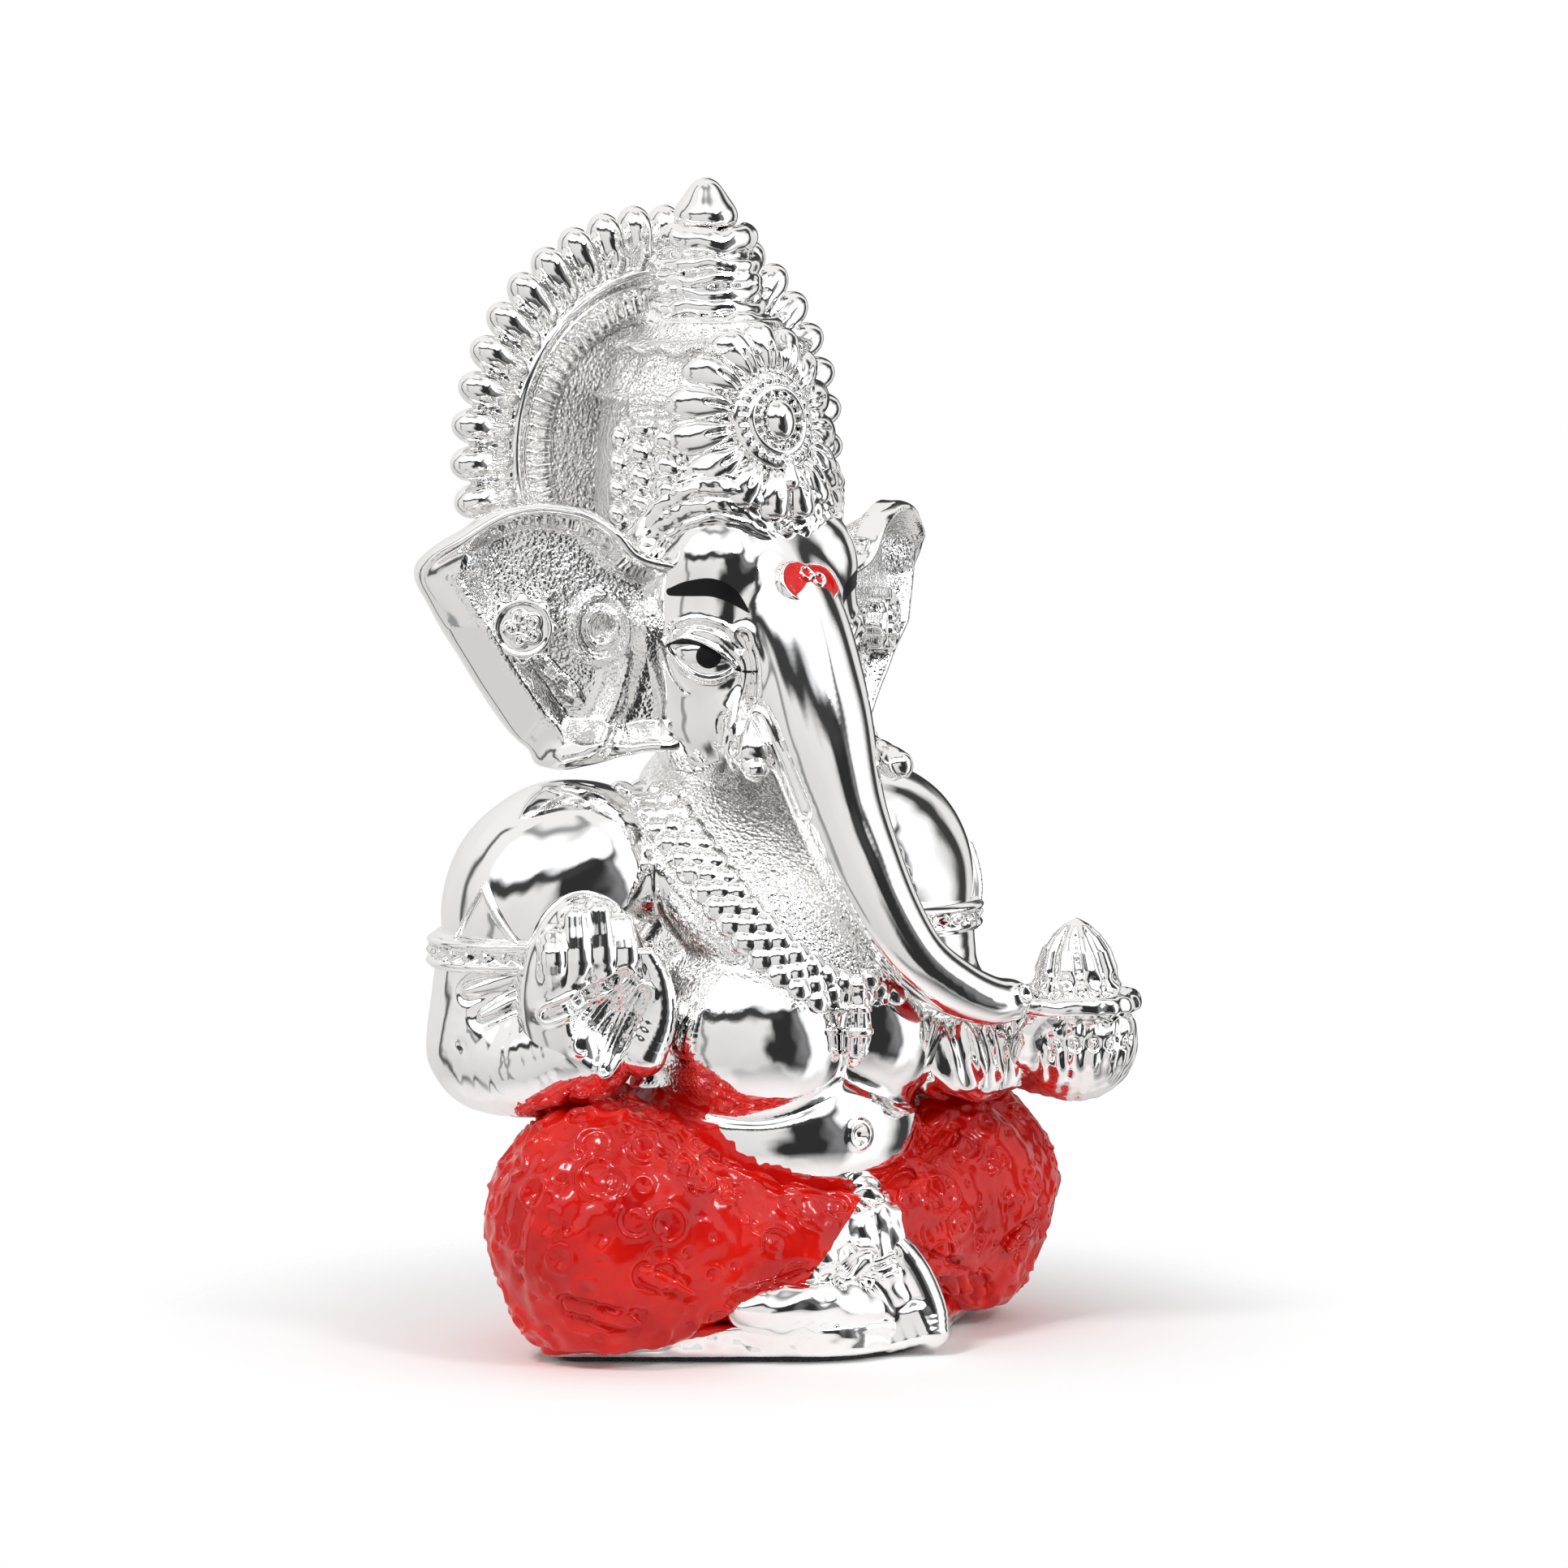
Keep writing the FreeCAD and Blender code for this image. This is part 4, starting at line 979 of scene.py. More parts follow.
EAR_LIP = curve([(8.2, 50.6, 0), (5.8, 51.6, 0), (4.1, 54.2, 0), (3.0, 57.4, 0), (2.5, 60.4, 0), (2.7, 63.0, 0)])
ear_edge = outline_lookup(EAR_CORNERS, (-6.0, 44.0), (25.0, 78.0))
FLOWER = (11.7, 62.0)
CANAL = (4.8, 61.9)


def ear_flat(q):
    """Along the ear from its root, up, and out of its front face."""
    return patch(q, EAR_ROOT, EAR_AXES)


def ear_shell(q):
    a, z, n = ear_flat(q)
    edge = ear_edge(a, z)
    inner = -edge
    top = step_up(z, 62.0, 70.0)
    outward = step_up(a, 2.0, 10.0)
    border = 1.0 + 2.3 * outward * step_up(-z, -70.0, -66.0)
    bowl = 2.5 * step_up(inner, border - 0.5, border + 1.8)
    level = 1.2 - bowl + 1.1 * swell(inner - 0.5, 0.9) * top
    # The smooth border slopes away to the edge, and the lip below the bowl rolls forward.
    level = level - 0.42 * np.clip(border - inner, 0, 3.4) * outward
    lip = line_distance(np.stack([a, z, 0 * a], axis=1), EAR_LIP, 4.0)
    behind = (a < np.interp(-z, -EAR_LIP[:, 1], EAR_LIP[:, 0])) * step_up(-z, -64.0, -62.0)
    level = level + 1.7 * swell(lip, 1.0) + behind * 0.5 * step_up(lip, 0.0, 1.2)
    level = level - 0.012 * (a - 6.0) ** 2 - 0.027 * np.clip(62.0 - z, 0, 20) * np.clip(a, 0, 20)
    ring = np.hypot((a - CANAL[0]) / 0.8, z - CANAL[1])
    level = level + 0.6 * (swell(ring - 2.8, 0.45) + swell(ring - 1.5, 0.4)) - 0.9 * swell(ring, 0.8)
    for x, y in ((9.4, 58.4), (7.8, 56.8)):
        leaf = np.hypot((a - x + z - y) * 0.42, (a - x - z + y) * 1.2)
        level = level + 0.55 * swell(leaf - 0.8, 0.35)
    sheet = np.maximum(n - level - 0.85, level - 1.75 - n)
    return keep(sheet * 0.85, edge, 0.55)


def lowered(p, sign):
    """The left ear was cast a little lower than the right one."""
    q = mirrored(p)
    if sign > 0:
        q[:, 2] += 1.6
    return q


def ear(sign):
    def field(p):
        f = ear_shell(lowered(p, sign)) + 0.05 * lumps(p, 4.0, 81)
        return keep(f, -sign * p[:, 0], 0.1)
    return field


def ear_grain(p):
    a, z, n = ear_flat(mirrored(p))
    inner = -ear_edge(a, z)
    high = step_up(z, 58.0, 66.0)
    return (0.28 + 0.4 * high) * step_up(inner, 1.8, 3.4) * step_up(n, -3.5, -2.5)


def flower(sign):
    """A lobed disc with a small rosette."""
    def field(p):
        a, z, n = ear_flat(lowered(p, sign))
        x, y = a - FLOWER[0], z - FLOWER[1]
        level = 0.15 - 0.012 * (a - 6.0) ** 2
        r, turn = np.hypot(x, y), np.arctan2(y, x)
        scallop = 2.8 + 0.30 * np.cos(8 * turn)
        f = keep(r - scallop, np.abs(n - level) - 0.9, 0.4)
        f = f - 0.22 * swell(r - 2.35, 0.25)
        for number in range(5):
            around = number * 2 * math.pi / 5
            spot = np.hypot(x - 1.0 * math.cos(around), y - 1.0 * math.sin(around))
            f = f - 0.45 * swell(spot - 0.45, 0.22) + 0.15 * swell(spot, 0.22)
        f = f - 0.6 * swell(r, 0.35)
        return keep(f, -sign * p[:, 0], 0.1)
    return field


# ---------------------------------------------------------------- necklace

def necklace_spots():
    """Centres of the rings: three staggered rows along the line, laid onto the chest."""
    steps = np.linalg.norm(np.diff(NECKLACE_LINE, axis=0), axis=1)
    run = np.concatenate([[0], np.cumsum(steps)])
    rng = np.random.default_rng(17)
    out = []
    for side, start in ((-1.15, 0.0), (0.0, 0.95), (1.15, 0.0)):
        along = np.arange(start, run[-1], 1.9)
        along = along + rng.uniform(-0.2, 0.2, len(along))
        spots = np.stack([np.interp(along, run, NECKLACE_LINE[:, axis]) for axis in range(3)], axis=1)
        ahead = np.stack([np.interp(along + 0.1, run, NECKLACE_LINE[:, axis]) for axis in range(3)], axis=1)
        sideways = np.cross(ahead - spots, slope_of(torso_mass, spots, 0.3))
        sideways = sideways / np.maximum(np.linalg.norm(sideways, axis=1), 1e-6)[:, None]
        out.append(settle(torso_mass, spots + side * sideways, 1.0, 4))
    return np.concatenate(out)


NECKLACE_LINE = necklace_line()
NECKLACE_SPOTS = necklace_spots()


def necklace(p):
    """Rows of small rings lying on the chest along a deep V."""
    q = mirrored(p)
    host = torso_mass(p)
    nearest = np.full(len(p), 16.0, p.dtype)
    centre = (q.min(axis=0) + q.max(axis=0)) / 2
    spread = float(length(q - centre).max())
    for spot in NECKLACE_SPOTS.astype(p.dtype):
        if np.linalg.norm(spot - centre) < spread + 3.0:
            nearest = np.minimum(nearest, ((q - spot) ** 2).sum(axis=1))
    ring = np.sqrt(nearest)
    height = 0.45 + 0.55 * swell(ring - 0.62, 0.27) - 0.10 * swell(ring, 0.2)
    f = keep(host - height, ring - 1.2, 0.3)
    return keep(f, -(host + 0.9), 0.2)


def pendant(p):
    f = chain(p, [(-0.6, -18.6, 32.2, 0.7), (-0.7, -18.9, 29.6, 1.0), (-0.8, -18.8, 27.4, 1.2), (-0.8, -18.2, 25.4, 0.7)])
    for number in range(4):
        away = line_distance(p, [(-2.2 + number * 0.9, -19.6, 30.6), (-2.4 + number * 1.0, -19.6, 25.4)])
        f = f + 0.3 * swell(away, 0.25)
    rings = np.sin(p[:, 2] * 3.2)
    return f - 0.18 * step_up(rings, 0.3, 0.9)


# ---------------------------------------------------------------- crown

CROWN_Y = 2.2
CROWN_PROFILE = np.array([(66.0, 9.6), (69.0, 10.2), (72.5, 10.35), (76.0, 10.2), (79.0, 9.9), (80.6, 9.6), (81.4, 9.9),
                          (82.2, 9.3), (83.6, 8.6), (85.0, 8.0), (85.8, 8.0), (86.6, 6.7), (88.4, 5.4)])
crown_profile = curve(CROWN_PROFILE, 6)
CREST_CENTRE = (0.0, -6.4, 79.4)
CREST_AXES = axes((0, -0.978, 0.208))


def crown(p):
    x, y, z = p[:, 0], p[:, 1] - CROWN_Y, p[:, 2]
    flatter = np.interp(z, [70, 74, 79, 84, 88], [1.0, 1.08, 1.24, 1.15, 1.0])
    y = np.where(y < 0, y * flatter, y)
    r, turn = np.hypot(x, y), np.arctan2(x, -y)
    f = (r - np.interp(z, crown_profile[:, 0], crown_profile[:, 1])) * 0.88
    # Overlapping leaves on both sides of the crest, in upright strands.
    strand = 2.9 / 10
    column = np.floor(turn / strand)
    across = (np.mod(turn, strand) - strand / 2) * 10
    shift = np.where(np.mod(column, 2) == 0, 0.0, 1.1)
    up = np.mod(z + shift, 2.2) - 1.1
    leaf = np.clip(1 - (across / 1.4) ** 2 - ((up + 0.3 * np.abs(across)) / 1.1) ** 2, 0, 1)
    sides = step_up(np.abs(turn), 0.75, 0.85) * step_up(-np.abs(turn), -1.75, -1.55) * step_up(-z, -79.6, -79.0)
    f = f - 0.95 * np.sqrt(leaf) * sides
    # Bars and wavy ledges above.
    f = f - 0.5 * swell(np.abs(turn) - 0.70, 0.045) * step_up(-z, -80.0, -79.0)
    wave = 0.35 * np.sin(turn * 14)
    f = f - 0.55 * swell(z - 81.3 - 0.4 * wave, 0.45) - 0.7 * swell(z - 85.6 - wave, 0.42)
    f = f - 0.35 * swell(z - 80.1, 0.3) - 0.25 * lumps(p, 2.4, 91) * step_up(z, 81.8, 82.6) * step_up(-z, -84.8, -84.2)
    f = keep(f, z - 88.0, 0.4)
    # The lower edge runs over the brow.
    q = mirrored(p)
    edge = np.interp(q[:, 0], [0, 2.0, 4.5, 7.0, 9.0, 10.5], [70.4, 71.3, 72.5, 73.0, 72.0, 69.5])
    edge = np.where(p[:, 1] < 2.0, edge, 67.0)
    return keep(f, edge - z, 0.5)


def crown_grain(p):
    """Rough at the back and above, calm on the leaves."""
    turn = np.abs(np.arctan2(p[:, 0], CROWN_Y - p[:, 1]))
    leaves = step_up(-p[:, 2], -80.0, -79.0) * step_up(-turn, -1.75, -1.55)
    return 0.85 * step_up(-p[:, 2], -88.0, -86.6) * (1 - 0.9 * leaves)


BROW_LINE = np.array([(0.0, -7.2, 70.2), (2.0, -7.9, 71.2), (4.5, -7.3, 72.6), (7.0, -5.9, 73.0), (9.0, -3.4, 71.6),
                      (10.3, -1.4, 69.2), (10.9, 1.4, 67.2), (10.7, 5.0, 67.4), (8.6, 9.2, 68.0), (5.0, 11.6, 68.6), (0.0, 12.4, 68.8)])


def brow_band(p):
    """A cord of parallel strands over the brow, the lowest of them resting on the skin."""
    q = mirrored(p)
    f = line_distance(q, curve(BROW_LINE + [0, 0.5, 1.0]), 4.0) - 1.0
    f = np.minimum(f, line_distance(q, curve(BROW_LINE + [0, 0.7, -0.6]), 4.0) - 1.1)
    for strand in range(-2, 4):
        line = curve(BROW_LINE + [0, 0.12 * strand, 0.72 * strand - 0.1])
        f = melt(f, line_distance(q, line, 4.0) - 0.36 - 0.04 * (strand % 2), 0.12)
    return f + 0.07 * lumps(p, 1.3, 95)


TIER_Y = 3.4


def crown_tiers(p):
    x, y, z = p[:, 0], p[:, 1] - TIER_Y, p[:, 2]
    r, turn = np.hypot(x, y), np.arctan2(y, x)
    f = keep(r - 4.5 + 0.14 * (z - 88), np.abs(z - 90.8) - 4.4, 0.4)
    rings = ((87.4, 5.1, 0.95), (88.9, 4.5, 0.75), (90.2, 4.3, 0.70), (91.4, 4.35, 0.60), (92.6, 4.2, 0.66), (94.7, 3.4, 1.15))
    for number, (height, radius, tube) in enumerate(rings):
        wave = 0.22 * np.sin(turn * 3 + number * 2.1) + 0.1 * np.sin(turn * 7 + number)
        f = melt(f, np.hypot(r - radius, z - height - wave) - tube, 0.18)
    return f + 0.07 * lumps(p, 2.0, 97)


def finial(p):
    """A drop that narrows to a blunt tip."""
    q = p - np.array([0, TIER_Y, 0], p.dtype)
    f = ellipsoid(q, (0, 0, 96.7), (2.8, 2.8, 1.9))
    return melt(f, ellipsoid(q, (0, 0, 97.5), (1.9, 1.9, 2.5)), 0.9)


# ---------------------------------------------------------------- crest

def crest_flat(p):
    """Right, up and out of the crest, bent back around the crown at its sides."""
    s, w, n = patch(p, CREST_CENTRE, CREST_AXES)
    return s, w, n + s ** 2 / 19 + np.maximum(w, 0) ** 2 / 70


def crest_disc(p):
    s, w, n = crest_flat(p)
    r, turn = np.hypot(s, w), np.arctan2(w, s)
    f = keep(r - 4.3, np.abs(n + 0.2) - 1.0, 0.4)
    f = f + 0.5 * step_up(-r, -3.3, -2.9)
    f = np.minimum(f, np.hypot(r - 2.85, n - 0.75) - 0.30)
    for ring, count, size in ((2.25, 16, 0.30), (3.55, 24, 0.40)):
        pitch = 2 * math.pi / count
        around = (np.mod(turn, pitch) - pitch / 2) * ring
        f = melt(f, np.sqrt(around ** 2 + (r - ring) ** 2 + (n - 0.7) ** 2) - size, 0.1)
    drop = capsule(np.stack([s, w, n], axis=1), (0.1, -4.1, 1.0), (0.1, -5.4, 0.9), 0.5, 0.85)
    return melt(f, drop, 0.15)


def crest_boss(p):
    s, w, n = crest_flat(p)
    return ellipsoid(np.stack([s, w, n], axis=1), (0, 0, 0.6), (1.6, 1.9, 1.25))


def crest_petals(p):
    """Fat leaves around the disc, each with a groove along it, on a scalloped backing."""
    s, w, n = crest_flat(p)
    r, turn = np.hypot(s, w), np.arctan2(s, w)
    pitch = math.radians(360 / 15)
    local = np.mod(turn + 0.5 * pitch, pitch) - 0.5 * pitch
    radial, across = r * np.cos(local), r * np.sin(local)
    wide = np.clip(1.0 + 0.17 * (radial - 6.3), 0.55, 1.35)
    f = ellipsoid(np.stack([radial, across / wide, n], axis=1), (6.4, 0, 0.1), (2.45, 1.38, 1.45))
    f = melt(f, ellipsoid(np.stack([radial, across, n], axis=1), (7.9, 0, 0.1), (1.0, 1.25, 1.25)), 0.4)
    f = f + 0.40 * swell(across, 0.22) * step_up(-radial, -7.2, -6.2)
    gap = np.mod(turn, pitch) - 0.5 * pitch
    bud = np.sqrt((r * np.sin(gap)) ** 2 + ((r - 7.6) / 1.6) ** 2 + (n + 0.2) ** 2) - 0.55
    f = melt(f, bud, 0.15)
    return melt(f, keep(r - 7.4, np.abs(n + 1.0) - 1.0, 0.4), 0.3)


# ---------------------------------------------------------------- halo

HALO = np.array([0.0, 11.5, 76.3])
PETAL_PITCH = math.radians(9.7)


def halo_polar(p):
    q = p - HALO.astype(p.dtype)
    return np.hypot(q[:, 0], q[:, 2]), np.arctan2(q[:, 0], q[:, 2]), -q[:, 1]


def halo_plate(p):
    r, turn, n = halo_polar(p)
    f = keep(r - 15.4, np.abs(n + 0.4) - 0.9, 0.3)
    pitch = PETAL_PITCH / 2
    tick = (np.mod(turn, pitch) - pitch / 2) * 12.5
    f = f - 1.1 * swell(tick, 0.27) * step_up(r, 11.4, 11.8) * step_up(-r, -13.8, -13.4) * step_up(n, -0.4, 0.4)
    f = f - 0.45 * swell(r - 14.1, 0.28) + 0.5 * step_up(-r, -11.2, -10.6) * step_up(n, -0.4, 0.4)
    # The back carries two plain raised rings.
    back = step_up(-n, 0.6, 1.0)
    return f - back * (0.4 * swell(r - 13.6, 0.5) + 0.4 * swell(r - 9.5, 0.5) + 0.5 * swell(r - 0.5, 1.4))


def halo_plate_grain(p):
    r, turn, n = halo_polar(p)
    return 0.9 * step_up(n, -0.6, -0.2) * step_up(-r, -11.4, -10.8) + 0.15


def halo_rim(p):
    r, turn, n = halo_polar(p)
    f = np.hypot(r - 15.2, n - 0.9) - 0.50
    return melt(f, np.hypot(r - 15.2, (n + 0.3) * 0.7) - 0.7, 0.2)


def halo_petals(p):
    """Fat round petals with a narrower root, and a small thorn between neighbours."""
    r, turn, n = halo_polar(p)
    local = turn - PETAL_PITCH * (np.clip(np.round(turn / PETAL_PITCH - 0.5), -12, 11) + 0.5)
    radial, across = r * np.cos(local), r * np.sin(local)
    place = np.stack([radial, across, n], axis=1)
    f = ellipsoid(place, (18.9, 0, 0.0), (2.25, 1.58, 1.85))
    f = melt(f, ellipsoid(place, (17.3, 0, 0.2), (2.1, 1.32, 1.65)), 0.5)
    f = f + 0.30 * swell(np.abs(across) - 0.75 + 0.25 * (radial - 17.5), 0.2) * step_up(-radial, -18.2, -17.2)
    web = keep(np.abs(r - 17.0) - 1.7, np.abs(n + 0.1) - 0.7, 0.3)
    web = keep(web, np.abs(turn) - PETAL_PITCH * 12.0, 0.1)
    f = melt(f, web, 0.25)
    between = np.abs(across) - r * math.tan(PETAL_PITCH / 2)
    thorn = np.sqrt(((r - 16.9) / 2.2) ** 2 + between ** 2 + (n - 0.5) ** 2) - 0.5
    return melt(f, thorn, 0.15)


# ---------------------------------------------------------------- build

scatter_motifs()
silver = plated("plated silver")
pad = felt("felt")
filler = cast_stone("cast filler")

for name in ("filler_core", "pour_plug"):
    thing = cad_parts[name]
    thing.data.materials.clear()
    thing.data.materials.append(filler)

solid("felt_pad", felt_pad, (-24, -24, -0.4), (24, 16, 1.2), 0.3, ["base_felt"], pad)
solid("base", base_plate, (-25, -24, 0.2), (25, 16.5, 3.8), BROAD, ["base_plate"], silver, {"lacquer": base_lacquer})
solid("torso_skin", torso, (-29, -20, 6), (29, 16, 51.5), BROAD, ["torso"], silver,
      {"grain": torso_grain, "lacquer": torso_lacquer})
solid("right_leg", right_leg, (-30.5, -23, 0.6), (1.2, 15.5, 24), PLAIN, ["right_leg_garment"], silver, {"lacquer": leg_lacquer})
solid("left_leg", left_leg, (-0.6, -23, 0.6), (30.5, 15.5, 24), PLAIN, ["left_leg_garment"], silver, {"lacquer": leg_lacquer})
solid("left_foot_skin", left_foot, (-5, -25, -0.4), (8, -12, 16), FINE, ["left_foot"], silver)
solid("right_foot_skin", right_foot, (-14, -22.5, 1), (5, -11, 9), FINE, ["right_foot"], silver)
solid("pleat", front_pleat, (-2, -20, 8.5), (5, -13.5, 17), FINE, ["front_pleat"], silver)
solid("right_arm", right_arm, (-30, -11, 19.5), (-14.5, 10.5, 36.5), PLAIN, ["right_upper_arm", "right_forearm"], silver)
solid("left_arm", left_arm, (9.5, -21, 18), (30, 10.5, 36.5), PLAIN, ["left_upper_arm", "left_forearm"], silver)
solid("right_armlet_band", right_armlet, (-30.5, -8.5, 31), (-13.5, 12, 43), FINE, ["right_armlet"], silver)
solid("left_armlet_band", left_armlet, (13.5, -8.5, 31), (30.5, 12, 43), FINE, ["left_armlet"], silver)
solid("raised_hand", right_hand, (-29, -13, 19), (-12.5, -0.5, 43), FINE, ["right_hand"], silver, {"grain": right_hand_grain})
solid("offering_hand", left_hand, (13.5, -29, 18.5), (30, -10.5, 31.5), FINE, ["left_hand"], silver)
solid("dish", dish, (13, -28.5, 27), (29, -12.5, 32), FINE, ["sweet_dish"], silver)
solid("modak", modak, (16.5, -26.5, 29.6), (27, -16, 38), FINE, ["modak_sweet"], silver)
solid("face_and_trunk", head, (-12, -26, 26), (17, 12, 75), BROAD * 0.85, ["head", "trunk"], silver,
      {"ink": head_ink, "lacquer": head_lacquer, "grain": head_grain}, head_ease)
solid("right_eyeball", eye_pair(-1), (-12, -10.5, 56.5), (-3.5, -2, 63), FINE, ["right_eye"], silver, {"ink": eye_ink})
solid("left_eyeball", eye_pair(1), (3.5, -10.5, 56.5), (12, -2, 63), FINE, ["left_eye"], silver, {"ink": eye_ink})
solid("brow_mark", tilak, (-4, -13.5, 62), (4, -8.5, 69), 0.1, ["tilak_mark"], silver, {"lacquer": tilak_lacquer})
solid("broken_tusk", tusk((-5.9, -9.6, 51.9), (-6.1, -11.5, 50.2), 1.35, 1.15), (-8.5, -14, 48), (-3.5, -7, 54.5), 0.12, ["right_tusk"], silver)
solid("whole_tusk", tusk((5.9, -10.2, 51.8), (6.5, -15.2, 50.0), 1.2, 1.35), (3.5, -18, 47.5), (9, -8, 54.5), 0.12, ["left_tusk"], silver)
for sign, name in ((-1, "right"), (1, "left")):
    low, high = sorted((sign * 6.5, sign * 30.0))
    solid(f"{name}_ear_shell", ear(sign), (low, -7, 47), (high, 11.5, 75), PLAIN, [f"{name}_ear"], silver, {"grain": ear_grain})
    low, high = sorted((sign * 15.0, sign * 25.0))
    solid(f"{name}_flower", flower(sign), (low, -2, 58), (high, 8, 66), 0.12, [f"{name}_ear_flower"], silver)
solid("necklace_beads", necklace, (-18, -21.5, 30), (18, 4.5, 55), 0.17, ["bead_necklace"], silver)
solid("pendant", pendant, (-3.5, -21.5, 23.5), (2, -15, 34), 0.12, ["necklace_pendant"], silver)
solid("crown_body", crown, (-12, -10, 66), (12, 14, 89), PLAIN, ["crown_dome"], silver, {"grain": crown_grain})
solid("brow_arch", brow_band, (-13, -10.5, 67), (13, 14, 76.5), FINE, ["brow_band"], silver)
solid("tiers", crown_tiers, (-6.5, -3, 85.5), (6.5, 10, 97), FINE, ["crown_tiers"], silver)
solid("finial", finial, (-4, -0.5, 94), (4, 7.5, 100.6), FINE, ["crown_finial"], silver)
solid("crest_plate", crest_disc, (-5.5, -10, 72.5), (5.5, -3, 85), 0.12, ["crest_disc"], silver)
solid("crest_stone", crest_boss, (-2.5, -10, 76.5), (2.5, -4, 82.5), 0.12, ["crest_boss"], silver)
solid("crest_leaves", crest_petals, (-10.5, -9.5, 69.5), (10.5, 3, 89.5), FINE, ["crest_petals"], silver)
solid("halo_disc", halo_plate, (-16.5, 9, 60), (16.5, 14, 92.5), PLAIN, ["halo_plate"], silver, {"grain": halo_plate_grain})
solid("halo_ring", halo_rim, (-16.8, 9, 60), (16.8, 14, 93), PLAIN, ["halo_rim"], silver)
solid("halo_leaves", halo_petals, (-22.2, 8.8, 60), (22.2, 14.2, 98.5), PLAIN, ["halo_petals"], silver)


# ---------------------------------------------------------------- stage, light and camera

def direction(azimuth, rise):
    """Unit vector towards a viewer: azimuth 0 stands in front of the figure, at -Y."""
    return Vector((math.sin(azimuth) * math.cos(rise), -math.cos(azimuth) * math.cos(rise), math.sin(rise)))


TO_VIEWER = direction(VIEW_AZIMUTH, VIEW_RISE)
VIEW_RIGHT = Vector((math.cos(VIEW_AZIMUTH), math.sin(VIEW_AZIMUTH), 0))
VIEW_UP = TO_VIEWER.cross(VIEW_RIGHT)


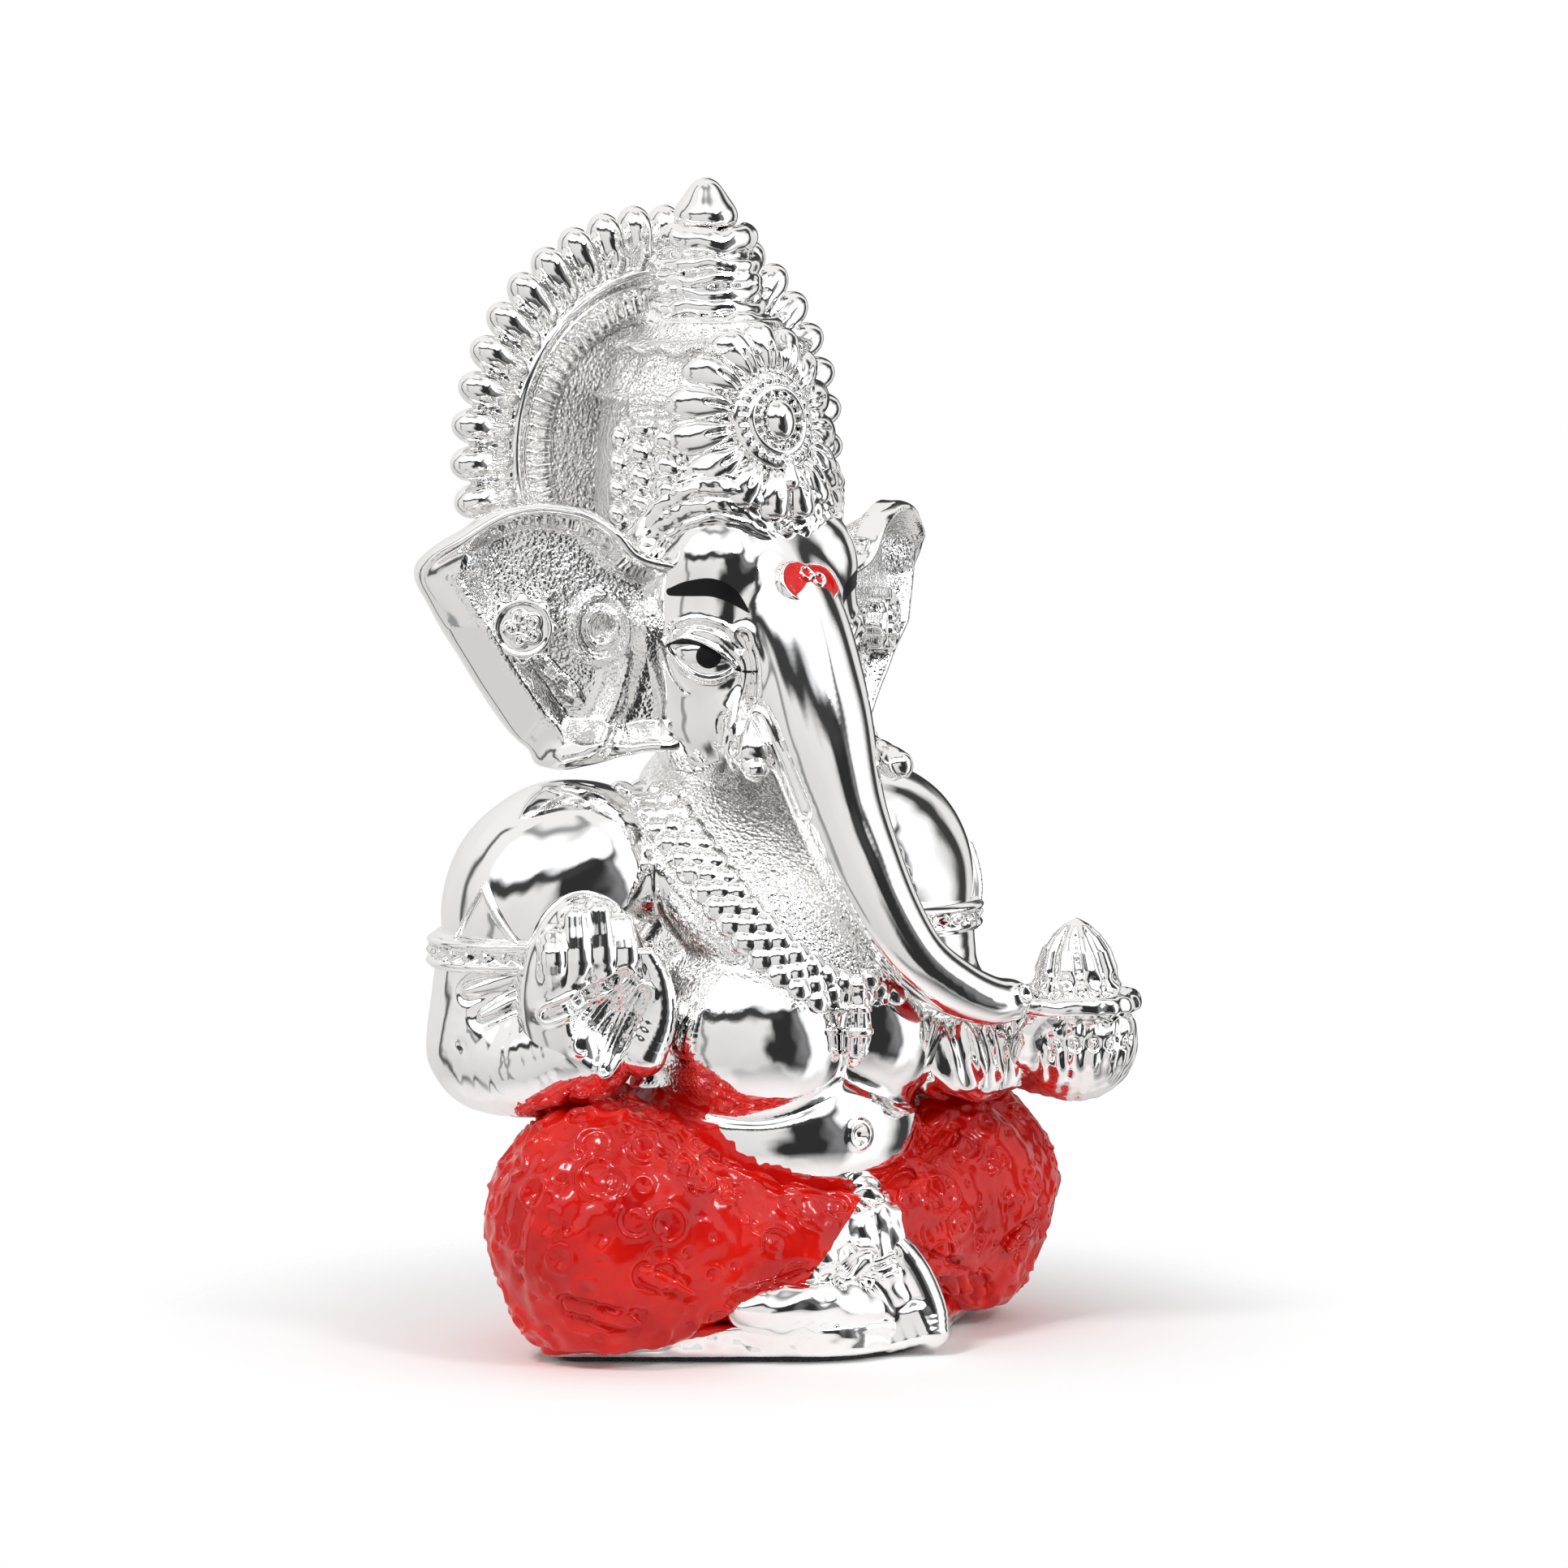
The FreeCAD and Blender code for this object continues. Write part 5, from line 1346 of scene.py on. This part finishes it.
def studio():
    """Pale surroundings with soft boxes and dark gaps, so that the plating has something to mirror."""
    world = bpy.data.worlds.new("studio")
    bpy.context.scene.world = world
    world.use_nodes = True
    tree = world.node_tree
    tree.nodes.clear()
    ray = node(tree, "ShaderNodeTexCoord").outputs["Generated"]
    # Nothing in a room has ruled edges: the directions are bent a little before they are looked up.
    wander = node(tree, "ShaderNodeTexNoise", {"Vector": ray, "Scale": 2.2, "Detail": 1.0}).outputs["Color"]
    bend = node(tree, "ShaderNodeVectorMath", {0: wander, 1: (0.5, 0.5, 0.5)}, operation="SUBTRACT").outputs[0]
    bent = node(tree, "ShaderNodeVectorMath", {0: bend, 1: (0.55, 0.55, 0.55), 2: ray}, operation="MULTIPLY_ADD").outputs[0]
    bent = node(tree, "ShaderNodeVectorMath", {0: bent}, operation="NORMALIZE").outputs[0]

    def along(axis):
        return node(tree, "ShaderNodeVectorMath", {0: bent, 1: axis}, operation="DOT_PRODUCT").outputs["Value"]

    flat_view = Vector((TO_VIEWER.x, TO_VIEWER.y, 0)).normalized()
    turn = maths(tree, "ARCTAN2", along(VIEW_RIGHT), along(flat_view))
    rise = maths(tree, "ARCSINE", along(Vector((0, 0, 1))))

    def panel(turn_mid, turn_half, rise_mid, rise_half, soft):
        sides = maths(tree, "ABSOLUTE", maths(tree, "SUBTRACT", turn, math.radians(turn_mid)))
        ends = maths(tree, "ABSOLUTE", maths(tree, "SUBTRACT", rise, math.radians(rise_mid)))
        a = ramp(tree, sides, math.radians(turn_half - soft), math.radians(turn_half + soft), 1, 0)
        b = ramp(tree, ends, math.radians(rise_half - soft), math.radians(rise_half + soft), 1, 0)
        return maths(tree, "MULTIPLY", a, b)

    # Each panel: middle and half width around the viewer, middle and half height, softness, brightness.
    panels = ((-100, 5, 0, 60, 4, 0.12), (-52, 4, -8, 26, 3, 0.30),
              (42, 29, -2, 33, 6, 0.030), (60, 7, 0, 24, 6, 0.22), (-12, 48, 24, 9, 5, 0.05),
              (0, 64, 46, 17, 4, 1.35), (0, 80, 74, 5, 4, 0.35),
              (84, 15, 12, 44, 5, 1.20), (120, 12, 0, 60, 6, 0.05),
              (35, 62, -54, 15, 7, 0.10), (180, 24, 10, 32, 6, 0.05))
    colour = node(tree, "ShaderNodeMix", {
        "Factor": ramp(tree, rise, -0.9, 0.9), 6: (0.66, 0.655, 0.655, 1), 7: (0.92, 0.915, 0.91, 1)},
        data_type="RGBA").outputs[2]
    for turn_mid, turn_half, rise_mid, rise_half, soft, light in panels:
        tone = (light * 0.99, light, light * 1.03, 1)
        colour = node(tree, "ShaderNodeMix", {"Factor": panel(turn_mid, turn_half, rise_mid, rise_half, soft),
                                              6: colour, 7: tone}, data_type="RGBA").outputs[2]
    path = node(tree, "ShaderNodeLightPath")
    lit = node(tree, "ShaderNodeMix", {"Factor": path.outputs["Is Diffuse Ray"], 6: colour,
                                       7: (0.66, 0.66, 0.66, 1)}, data_type="RGBA")
    seen = node(tree, "ShaderNodeMix", {"Factor": path.outputs["Is Camera Ray"], 6: lit.outputs[2],
                                        7: (1, 1, 1, 1)}, data_type="RGBA")
    shine = node(tree, "ShaderNodeBackground", {"Color": seen.outputs[2], "Strength": 1.0})
    node(tree, "ShaderNodeOutputWorld", {"Surface": shine.outputs[0]})


def lamp(name, azimuth, rise, width, watts):
    """A small soft light half a metre away, aimed at the figure's chest."""
    light = bpy.data.lights.new(name, "AREA")
    light.shape = "DISK"
    light.size = width
    light.energy = watts
    thing = bpy.data.objects.new(name, light)
    toward = direction(VIEW_AZIMUTH + math.radians(azimuth), math.radians(rise))
    thing.location = toward * 0.5 + Vector((0, 0, 0.04))
    thing.rotation_euler = toward.to_track_quat("Z", "Y").to_euler()
    bpy.context.scene.collection.objects.link(thing)


def floor():
    """A pale floor that fades into the background around the figure."""
    bpy.ops.mesh.primitive_circle_add(vertices=96, radius=0.5, fill_type="NGON", location=(0, 0, -0.0001))
    ground = bpy.context.object
    ground.name = "floor"
    material, tree = fresh_material("pale floor")
    place = node(tree, "ShaderNodeTexCoord").outputs["Object"]
    away = node(tree, "ShaderNodeVectorMath", {0: place}, operation="LENGTH").outputs["Value"]
    paper = node(tree, "ShaderNodeBsdfDiffuse", {"Color": (0.93, 0.93, 0.93, 1)})
    clear = node(tree, "ShaderNodeBsdfTransparent")
    blend = node(tree, "ShaderNodeMixShader", {0: ramp(tree, away, 0.027, 0.064), 1: paper.outputs[0], 2: clear.outputs[0]})
    node(tree, "ShaderNodeOutputMaterial", {"Surface": blend.outputs[0]})
    ground.data.materials.append(material)


def camera():
    """A long lens from the figure's front right, a little above."""
    look_at = (VIEW_RIGHT * 4.7 + VIEW_UP * 47.3) * MM
    distance = 0.75
    lens = bpy.data.cameras.new("camera")
    lens.sensor_width = 36
    lens.lens = 36 * distance / 0.137
    viewer = bpy.data.objects.new("camera", lens)
    viewer.location = look_at + TO_VIEWER * distance
    viewer.rotation_euler = TO_VIEWER.to_track_quat("Z", "Y").to_euler()
    bpy.context.scene.collection.objects.link(viewer)
    bpy.context.scene.camera = viewer


studio()
lamp("key", -40, 48, 0.12, 1.0)
lamp("side", 42, 34, 0.10, 0.5)
floor()
camera()
bpy.context.scene.view_settings.view_transform = "Standard"
